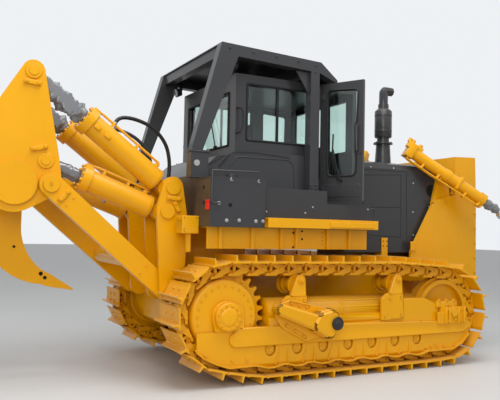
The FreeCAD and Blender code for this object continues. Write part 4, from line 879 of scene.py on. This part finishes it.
# columns: rear, front, low and high edge of a side window
window = (430, 1310, 2700, 3360)
loop = [mm(window[0], 801, window[2]), mm(window[1], 801, window[2]), mm(window[1], 801, window[3]),
        mm(window[0], 801, window[3])]
add_tube(bm, loop, 0.014, bend=0.03, closed=True)
add_block(bm, mm(830, 768, 2700), mm(858, 800, 3360), 0.004)
both_sides(bm)
loop = [mm(279, -620, 2640), mm(279, 620, 2640), mm(279, 620, 3270), mm(279, -620, 3270)]
add_tube(bm, loop, 0.014, bend=0.03, closed=True)
for y in (-300, 300):
    add_tube(bm, [mm(262, y, 2655), mm(268, y * 0.6, 2900), mm(268, y * 0.2, 3180)], 0.008, bend=0.03)
    add_rod(bm, mm(245, y, 2650), mm(280, y, 2650), 0.022)
new_piece("window_seals", bm, "machine", rubber, smooth=True)

bm = bmesh.new()
grab = [mm(300, 798, 3062), mm(319, 862, 3059), mm(345, 866, 3020), mm(345, 866, 2839), mm(310, 862, 2775),
        mm(293, 798, 2767)]
add_tube(bm, grab, 0.011, bend=0.03)
both_sides(bm)
new_piece("grab_handles", bm, "machine", black, smooth=True)

bm = bmesh.new()
lenses = bmesh.new()
# columns: place of a work lamp, the way it looks along x
for place, way in (((1150, 870, 3520), 1), ((250, 860, 3535), -1)):
    spot = mm(*place)
    ahead = Vector((way, 0, -0.25)).normalized()
    add_rod(bm, spot, spot + ahead * 0.075, 0.045, 0.062, sides=20)
    add_block(bm, spot + Vector((-0.012, -0.030, 0.02)), spot + Vector((0.012, 0.030, 0.11)), 0.003)
    add_rod(lenses, spot + ahead * 0.074, spot + ahead * 0.078, 0.054, sides=20)
both_sides(bm)
both_sides(lenses)
lens_glass = painted("lamp_glass", (0.75, 0.77, 0.78), gloss=0.08, wear=0.0, dust=0.05, metallic=0.3)
new_piece("work_lamps", bm, "machine", black, smooth=True)
new_piece("lamp_lenses", lenses, "machine", lens_glass, smooth=True)

bm = bmesh.new()
for x, y in ((-335, 880), (-335, 1000), (-136, 880), (-136, 1000)):
    add_bolt(bm, mm(x, y, 2506), (0, 0, 1), 0.030, 0.022)
for z in (2300, 2600, 2900, 3200, 3450):
    add_rod(bm, mm(1300, 985, z), mm(1306, 985, z), 0.010, 0.008, sides=12)
both_sides(bm)
new_piece("grey_bolts", bm, "machine", grey, smooth=True)

# Roof frame: folded beams of thick sheet with a gusset plate in the front corners, bolted
# through, on foot plates that lie on the boxes and the deck.
bm = bmesh.new()
add_outline(bm, flat(((1181, 3562), (1181, 3300), (1000, 3562))), 0.932, 0.948)
side_bolts(bm, ((100, 3690), (400, 3680), (700, 3670), (1000, 3660), (1240, 3640), (1240, 3560)),
           1000, 0.020, 0.012)
side_bolts(bm, ((1205, 2165), (1275, 2165), (1205, 2200), (1275, 2200)), 1000, 0.022, 0.012)
add_block(bm, mm(1165, 868, 2124), mm(1315, 1012, 2140), 0.004)
add_block(bm, mm(-352, 864, 2488), mm(-120, 1016, 2506), 0.004)
both_sides(bm)
new_piece("roof_frame_gussets", bm, "machine", grey, smooth=True)

# Doors: pressed sheet with a rubber seal round the pane, a recessed handle, and a wiper. The
# right one stands open.
DOOR_OPEN = math.radians(64)
HINGE = (1392, 858)
# columns: x, z, radius of the pane's corners on the closed left door
PANE = ((1575, 2380, 60), (1835, 2380, 60), (1865, 3300, 50), (1555, 3320, 50))
hinge = mm(HINGE[0], -HINGE[1], 0)
turned = Matrix.Translation(hinge) @ Matrix.Rotation(-DOOR_OPEN, 4, "Z") @ Matrix.Translation(-hinge) @ flip
for name, place in (("door_left", Matrix.Identity(4)), ("door_right", turned)):
    bm = bmesh.new()
    rim = rounded_outline(PANE, 5)
    for y in (847, 805):
        add_tube(bm, [mm(x, y, z) for x, z in rim], 0.012, closed=True)
    add_peg(bm, 1700, 2270, 845, 872, 0.020)
    add_peg(bm, 1660, 2285, 845, 868, 0.014)
    add_tube(bm, [mm(1700, 868, 2270), mm(1650, 870, 2420), mm(1600, 860, 2640)], 0.008)
    add_tube(bm, [mm(1660, 866, 2285), mm(1620, 868, 2430), mm(1592, 860, 2590)], 0.006)
    add_tube(bm, [mm(1580, 853, 2500), mm(1592, 853, 2830)], 0.010)
    bm.transform(place)
    new_piece(name + "_rubber", bm, name, rubber, smooth=True)
    bm = bmesh.new()
    recess = ((1890, 2600, 24), (1952, 2600, 24), (1952, 2930, 24), (1890, 2930, 24))
    add_outline(bm, hull_of(recess, 5), 0.8405, 0.852, edge=0.003)
    grip = [mm(1920, 850, 2600), mm(1920, 880, 2610), mm(1920, 880, 2900), mm(1920, 850, 2915)]
    add_tube(bm, grip, 0.009, bend=0.02)
    rib = ((1450, 2090, 22), (1940, 2090, 22), (1940, 2200, 22), (1450, 2200, 22))
    add_outline(bm, hull_of(rib, 5), 0.8405, 0.850, edge=0.004)
    for z in (2180, 3295):
        add_peg(bm, 1430, z, 858, 864, 0.012, 0.009, sides=12)
    bm.transform(place)
    new_piece(name + "_handle", bm, name, grey, smooth=True)

# Seat: a sprung seat of moulded foam under a black woven cover, on the cab's floor behind the
# dash.
seat_cloth = painted("seat_cloth", (0.02, 0.02, 0.022), gloss=0.8, coat=0.0, bump=0.5)
coat(seat_cloth, "seat")

# Engine end: grey hood over the engine, exhaust through the hood, and the yellow guard of heavy
# plate round the radiator.
iron = painted("engine_iron", (0.20, 0.13, 0.03), gloss=0.55, coat=0.0)
core = painted("radiator_black", (0.02, 0.02, 0.021), gloss=0.6, coat=0.0)
coat(grey, "hood")
coat(iron, "engine")
coat(yellow, "radiator_guard")
coat(core, "grille")

bm = bmesh.new()
side_bolts(bm, [(4243, z) for z in (1120, 1330, 1540, 1750, 1960)], 640, 0.028)
side_bolts(bm, ((3795, 2240), (3795, 2420), (3450, 2110), (3690, 2110)), 640)
add_outline(bm, flat(((3046, 1420), (3130, 1420), (3136, 1548), (3046, 1548))), 0.640, 0.654, edge=0.003)
both_sides(bm)
new_piece("guard_bolts", bm, "machine", yellow, smooth=True)

# columns: radius and height of the exhaust's outline, from the hood up
STACK = ((0, 2600), (118, 2600), (112, 2640), (96, 2898), (134, 2898), (134, 2918), (84, 2918), (84, 2992),
         (112, 2992), (120, 3004), (120, 3361), (112, 3373), (74, 3403), (74, 3463), (62, 3463), (62, 3520),
         (0, 3520))
EXHAUST_X, EXHAUST_Y = 2860, -270
bm = bmesh.new()
turn_line(bm, [mm(EXHAUST_X + radius, EXHAUST_Y, z) for radius, z in STACK], mm(EXHAUST_X, EXHAUST_Y, 0),
          (0, 0, 1), 48)
elbow = [mm(EXHAUST_X, EXHAUST_Y, 3500), mm(EXHAUST_X, EXHAUST_Y, 3657), mm(EXHAUST_X + 140, EXHAUST_Y, 3657)]
add_tube(bm, elbow, 0.062, bend=0.13)
for z in (3075, 3290):
    add_rod(bm, mm(EXHAUST_X, EXHAUST_Y, z), mm(EXHAUST_X, EXHAUST_Y, z + 24), 0.1225, sides=48)
for c, s in ring(8):
    add_bolt(bm, mm(EXHAUST_X + 110 * c, EXHAUST_Y + 110 * s, 2918), (0, 0, 1), 0.022, 0.014)
piece = new_piece("exhaust_stack", bm, "machine", grey, smooth=True)
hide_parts("exhaust")
# Painted shade: a black disc just inside the exhaust's mouth stands in for the shade in the pipe.
bm = bmesh.new()
add_rod(bm, mm(EXHAUST_X + 138, EXHAUST_Y, 3657), mm(EXHAUST_X + 141, EXHAUST_Y, 3657), 0.056, sides=32)
new_piece("exhaust_mouth_shade", bm, "machine", hole_shade)

# Blade lift cylinders: yellow barrels on trunnion pins, with a valve block and pipes, and bright
# rods that are still wrapped in protective film.
chrome = painted("rod_chrome", (0.62, 0.63, 0.64), gloss=0.12, metallic=1.0, coat=0.0, dust=0.02, wear=0.0)
foil = painted("packing_foil", (0.20, 0.20, 0.21), gloss=0.22, metallic=0.6, coat=0.0, wear=0.0, dust=0.05,
               edge=0.001)
film = painted("packing_film", (0.19, 0.195, 0.205), gloss=0.24, coat=0.3, wear=0.0, dust=0.1, bump=0.6,
               edge=0.001)
coat(yellow, "blade_barrel_left", "blade_barrel_right")
coat(chrome, "blade_rod_left", "blade_rod_right")
LIFT_PIVOT = (3580, 750, 2470)
SLOPE, TOE = math.radians(-32.3), math.radians(22.3)
axis = Vector((math.cos(SLOPE) * math.cos(TOE), math.cos(SLOPE) * math.sin(TOE), math.sin(SLOPE)))
over = Vector((-math.sin(SLOPE) * math.cos(TOE), -math.sin(SLOPE) * math.sin(TOE), math.cos(SLOPE)))
outward = over.cross(axis)
if outward.y < 0:
    outward = -outward


def on_lift(distance, up=0, out=0):
    """A point beside the left lift cylinder, in metres; distances in millimetres from its pivot."""
    return mm(*LIFT_PIVOT) + axis * (distance / 1000) + over * (up / 1000) + outward * (out / 1000)


def add_turned_block(bm, start, end, along_axis, up_axis, half_up, half_side):
    """A block along a slanted axis between two points in metres."""
    side_axis = along_axis.cross(up_axis).normalized()
    matrix = Matrix((along_axis, up_axis, side_axis)).transposed().to_4x4()
    matrix = Matrix.Translation((start + end) / 2) @ matrix \
        @ Matrix.Diagonal(((end - start).length, half_up * 2, half_side * 2, 1))
    verts = bmesh.ops.create_cube(bm, size=1, matrix=matrix)["verts"]
    edges = list({e for v in verts for e in v.link_edges})
    bmesh.ops.bevel(bm, geom=edges, offset=0.004, segments=2, affect="EDGES", profile=0.5, material=-1)


# columns: how deep each size of crease in the film is, and how often it comes
CREASES = ((1, 1), (0.45, 2.7), (0.2, 6.1))
EYE_HALF = 0.067


def crumpled(start, end, inner, slack, seed, tail=0.07, pressed=0.0):
    """A sleeve of loose film round a rod, tied at its start and wound on thinner along its tail.

    Where it passes between two plates, over the length pressed, it stays within them.
    """
    bm = bmesh.new()
    add_rod(bm, start, end, inner + 0.002, sides=28)
    way = (end - start).normalized()
    length = (end - start).length
    runs = [edge for edge in bm.edges if abs((edge.verts[0].co - edge.verts[1].co).dot(way)) > length * 0.9]
    bmesh.ops.subdivide_edges(bm, edges=runs, cuts=int(length / 0.011), use_grid_fill=True)
    for vert in bm.verts:
        along = (vert.co - start).dot(way)
        if along < 0.001 or along > length - 0.001:
            continue
        off = vert.co - start - way * along
        loose = min(1.0, 0.12 + along / 0.07, 0.06 + (length - along) / tail)
        spot = vert.co * 9 + Vector((seed, 0, 0))
        folds = sum(share * abs(noise.noise(spot * scale)) for share, scale in CREASES)
        vert.co += off.normalized() * slack * loose * folds
        if length - along < pressed:
            vert.co.y = start.y + max(-EYE_HALF, min(EYE_HALF, vert.co.y - start.y))
    return bm


for side, place in (("left", Matrix.Identity(4)), ("right", flip)):
    bm = bmesh.new()
    add_turned_block(bm, on_lift(-665), on_lift(-560), axis, over, 0.100, 0.098)
    add_turned_block(bm, on_lift(-700, 70, 10), on_lift(-470, 70, 10), axis, over, 0.045, 0.045)
    for distance in (-690, -640, -520):
        add_rod(bm, on_lift(distance, 100, 10), on_lift(distance, 150, 10), 0.030, sides=16)
        add_rod(bm, on_lift(distance, 140, 10), on_lift(distance, 158, 10), 0.020, sides=6)
    add_turned_block(bm, on_lift(180), on_lift(215), axis, over, 0.093, 0.093)
    add_turned_block(bm, on_lift(560, -70), on_lift(640, -70), axis, over, 0.045, 0.050)
    for out in (62, 20):
        pipe = [on_lift(-600, -60, out), on_lift(-610, -128, out), on_lift(-200, -128, out),
                on_lift(120, -122, out), on_lift(570 if out > 40 else -60, -118, out),
                on_lift(590 if out > 40 else -40, -70, out)]
        add_tube(bm, pipe, 0.013, bend=0.05)
    for distance in (-380, -120, 330):
        add_turned_block(bm, on_lift(distance, -100, 40), on_lift(distance + 28, -100, 40), axis, over,
                         0.040, 0.045)
    for c, s in ring(8, 22):
        add_bolt(bm, on_lift(641, 80 * c, 80 * s), axis, 0.018, 0.012)
    bm.transform(place)
    new_piece("blade_barrel_%s_fittings" % side, bm, "blade_barrel_" + side, yellow,
              smooth=True)
    start, end = on_lift(645), on_lift(892)
    bm = crumpled(start, end, 0.0425, 0.055, 3)
    bm.transform(place)
    sleeve = new_piece("blade_rod_%s_film" % side, bm, None, film, smooth=True)
    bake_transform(sleeve)

# Ripper: welded boxes of thick plate in yellow, cylinders in yellow with rods wrapped in film,
# and pins held by keeper bars.
coat(yellow, "ripper_bracket", "ripper_arm", "ripper_frame", "arm_pins", "shank", "tooth", "tilt_barrels",
     "lift_barrels")
coat(chrome, "tilt_rods", "lift_rods")
# columns: first and last pin in x and z, then the length of a barrel
TILT = ((-440, 2107), (-1935, 3245), 1180)
RAISE = ((-500, 1841), (-1785, 2325), 965)
ARM = ((-450, 950), (-1740, 2078))
CYLINDER_Y = 478


def keeper(bm, x, z, y, angle, length=170):
    """A bar with two bolts that lies in a groove of the pin beside it."""
    turn = math.radians(angle)
    way = Vector((math.cos(turn), 0, math.sin(turn)))
    up = Vector((-way.z, 0, way.x))
    middle = mm(x, y + 14, z)
    add_turned_block(bm, middle - way * length / 2000, middle + way * length / 2000, way, up, 0.024, 0.015)
    for share in (-0.34, 0.34):
        add_bolt(bm, middle + way * (share * length / 1000) + Vector((0, 0.014, 0)), (0, 1, 0), 0.030, 0.018)


bm = bmesh.new()
keeper(bm, TILT[1][0] - 10, TILT[1][1] - 122, 589, -6)
keeper(bm, RAISE[1][0] - 70, RAISE[1][1] + 128, 589, 14)
add_outline(bm, hull_of(((-2091, 2085, 222), (-2089, 2085, 222)), 24), 0.585, 0.612, edge=0.008)
for (x, z), radius in ((TILT[1], 84), (RAISE[1], 84)):
    add_outline(bm, hull_of(((x - 1, z, radius), (x + 1, z, radius)), 16), 0.586, 0.606, edge=0.006)
    add_peg(bm, x, z, 600, 616, 0.052, 0.048, sides=32)
both_sides(bm)
for z in (2110, 2640):
    for x in (-2300, -1950):
        for y in (-142, 142):
            add_bolt(bm, mm(x, y, z), (0, math.copysign(1, y), 0), 0.036, 0.020)
new_piece("ripper_frame_keepers", bm, "ripper_frame", yellow, smooth=True)

bm = bmesh.new()
keeper(bm, TILT[0][0] + 10, TILT[0][1] - 122, 750, -4)
keeper(bm, RAISE[0][0] + 100, RAISE[0][1] + 52, 750, -60, 120)
add_peg(bm, *ARM[0], 749, 762, 0.088)
add_peg(bm, *ARM[0], 761, 768, 0.058)
both_sides(bm)
new_piece("bracket_keepers", bm, "machine", yellow, smooth=True)

arm_way = Vector((ARM[0][0] - ARM[1][0], 0, ARM[0][1] - ARM[1][1])).normalized()
bm = bmesh.new()
spot = mm(ARM[1][0], 0, ARM[1][1]) + arm_way * 0.175
slant = math.degrees(math.atan2(arm_way.z, arm_way.x)) + 90
keeper(bm, (spot.x - SPROCKET_X) * 1000, spot.z * 1000, 690, slant, 150)
add_peg(bm, *ARM[1], 688, 704, 0.088, 0.084, sides=40)
add_peg(bm, *ARM[1], 700, 712, 0.050, 0.047, sides=32)
add_bolt(bm, mm(ARM[1][0], 712, ARM[1][1]), (0, 1, 0), 0.026, 0.014)
for high in (-52, 52):
    for near in (260, 1330):
        way_up = Vector((-arm_way.z, 0, arm_way.x))
        foot = mm(ARM[1][0], 0, ARM[1][1]) + arm_way * (near / 1000) + way_up * (high / 1000)
        add_bolt(bm, foot + Vector((0, 0.689, 0)), (0, 1, 0), 0.022, 0.010)
both_sides(bm)
new_piece("arm_keepers", bm, "ripper_arm", yellow, smooth=True)

for name, (root, end, barrel), seed in (("tilt", TILT, 5), ("lift", RAISE, 11)):
    way = Vector((end[0] - root[0], 0, end[1] - root[1]))
    length = way.length
    way.normalize()
    up = Vector((way.z, 0, -way.x))
    if up.z < 0:
        up = -up
    across = Vector((0, 1, 0))

    def beside(distance, high=0, out=0):
        return mm(root[0], CYLINDER_Y + out, root[1]) + way * (distance / 1000) + up * (high / 1000)

    bm = bmesh.new()
    for c, s in ring(12, 15):
        add_bolt(bm, beside(barrel, 134 * c, 134 * s), way, 0.026, 0.022)
    add_turned_block(bm, beside(barrel - 90, 140), beside(barrel - 12, 140), way, up, 0.030, 0.045)
    add_rod(bm, beside(150), beside(172), 0.134, sides=40)
    pipe = [beside(230, 126), beside(232, 178), beside(barrel - 130, 172), beside(barrel - 60, 160)]
    add_tube(bm, pipe, 0.015, bend=0.05)
    for distance in (barrel * 0.45, barrel * 0.75):
        add_turned_block(bm, beside(distance, 150), beside(distance + 30, 150), way, up, 0.035, 0.026)
    if name == "tilt":
        for distance in (barrel - 330, barrel - 190):
            add_turned_block(bm, beside(distance, -20, 138), beside(distance + 70, -20, 138), way, up,
                             0.020, 0.022)
    add_turned_block(bm, beside(215, 128), beside(265, 128), way, up, 0.028, 0.034)
    both_sides(bm)
    new_piece(name + "_barrel_fittings", bm, name + "_barrels", yellow, smooth=True)
    for side, place in (("left", Matrix.Identity(4)), ("right", flip)):
        start, end = beside(barrel + 4), beside(length - 98)
        bm = crumpled(start, end, 0.0645, 0.085 if name == "tilt" else 0.035, seed, tail=0.24, pressed=0.50)
        bm.transform(place)
        sleeve = new_piece("%s_rod_%s_film" % (name, side), bm, None,
                           film if name == "tilt" else foil, smooth=True)
        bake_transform(sleeve)

# Shank and tooth: the forged shank hangs on a pin through the frame's pocket, and two more pins
# hold the tooth on its tip.
# Painted shade: thin black discs on both faces of the shank stand in for the shade in the holes round its
# pins.
bm = bmesh.new()
for x, z, radius in ((-1992, 1420, 15), (-1700, 1125, 22), (-1655, 1080, 20)):
    for y in (-51, 51):
        add_peg(bm, x, z, y * 0.97, y * 1.08, radius / 1000)
new_piece("shank_pin_hole_shade", bm, "ripper_frame", hole_shade, smooth=True)

# Hoses: black hydraulic hoses run in arcs from the bracket behind the hull to the ripper's
# cylinders, with a pressed steel fitting at each end. The far fitting rides on its cylinder's barrel.
hose_rubber = painted("hose_rubber", (0.014, 0.014, 0.015), gloss=0.45, coat=0.1, wear=0.0, dust=0.1,
                      bump=0.3)
# columns: name, diameter, body at the far end, points of its route from the bracket's rim
HOSES = (("tilt_hose", 0.044, "tilt_barrels", ((-345, 318, 2165), (-330, 318, 2290), (-335, 325, 2480),
                                                (-400, 345, 2660), (-570, 380, 2815), (-790, 420, 2880),
                                                (-960, 455, 2880), (-1035, 474, 2820), (-1061, 478, 2745))),
         ("lift_hose", 0.038, "lift_barrels", ((-592, 318, 1985), (-592, 316, 2031), (-636, 308, 2106),
                                                (-710, 302, 2149), (-797, 302, 2149), (-871, 312, 2106),
                                                (-915, 335, 2031), (-915, 356, 1988))))
for name, thick, far_body, route in HOSES:
    for side, place in (("left", 1), ("right", -1)):
        points = [mm(x, place * y, z) for x, y, z in route]
        path = [vert.co.copy() for vert in tube_mesh(points, 0, 4, 6).vertices]
        bm = bmesh.new()
        bm.from_mesh(tube_mesh(points, thick / 2, 4, 6))
        hose = new_piece("%s_%s" % (name, side), bm, None, hose_rubber, smooth=True)
        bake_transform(hose)
        for end, inside, body in ((path[0], path[2], "machine"), (path[-1], path[-3], far_body)):
            bm = bmesh.new()
            way = (inside - end).normalized()
            add_rod(bm, end - way * 0.020, end + way * 0.070, thick * 0.58, sides=20)
            add_rod(bm, end - way * 0.030, end + way * 0.012, thick * 0.72, sides=6)
            where_to = "near" if body == "machine" else "far"
            new_piece("%s_%s_%s_end" % (name, side, where_to), bm, body, zinc, smooth=True)

scene.view_settings.view_transform = "Standard"
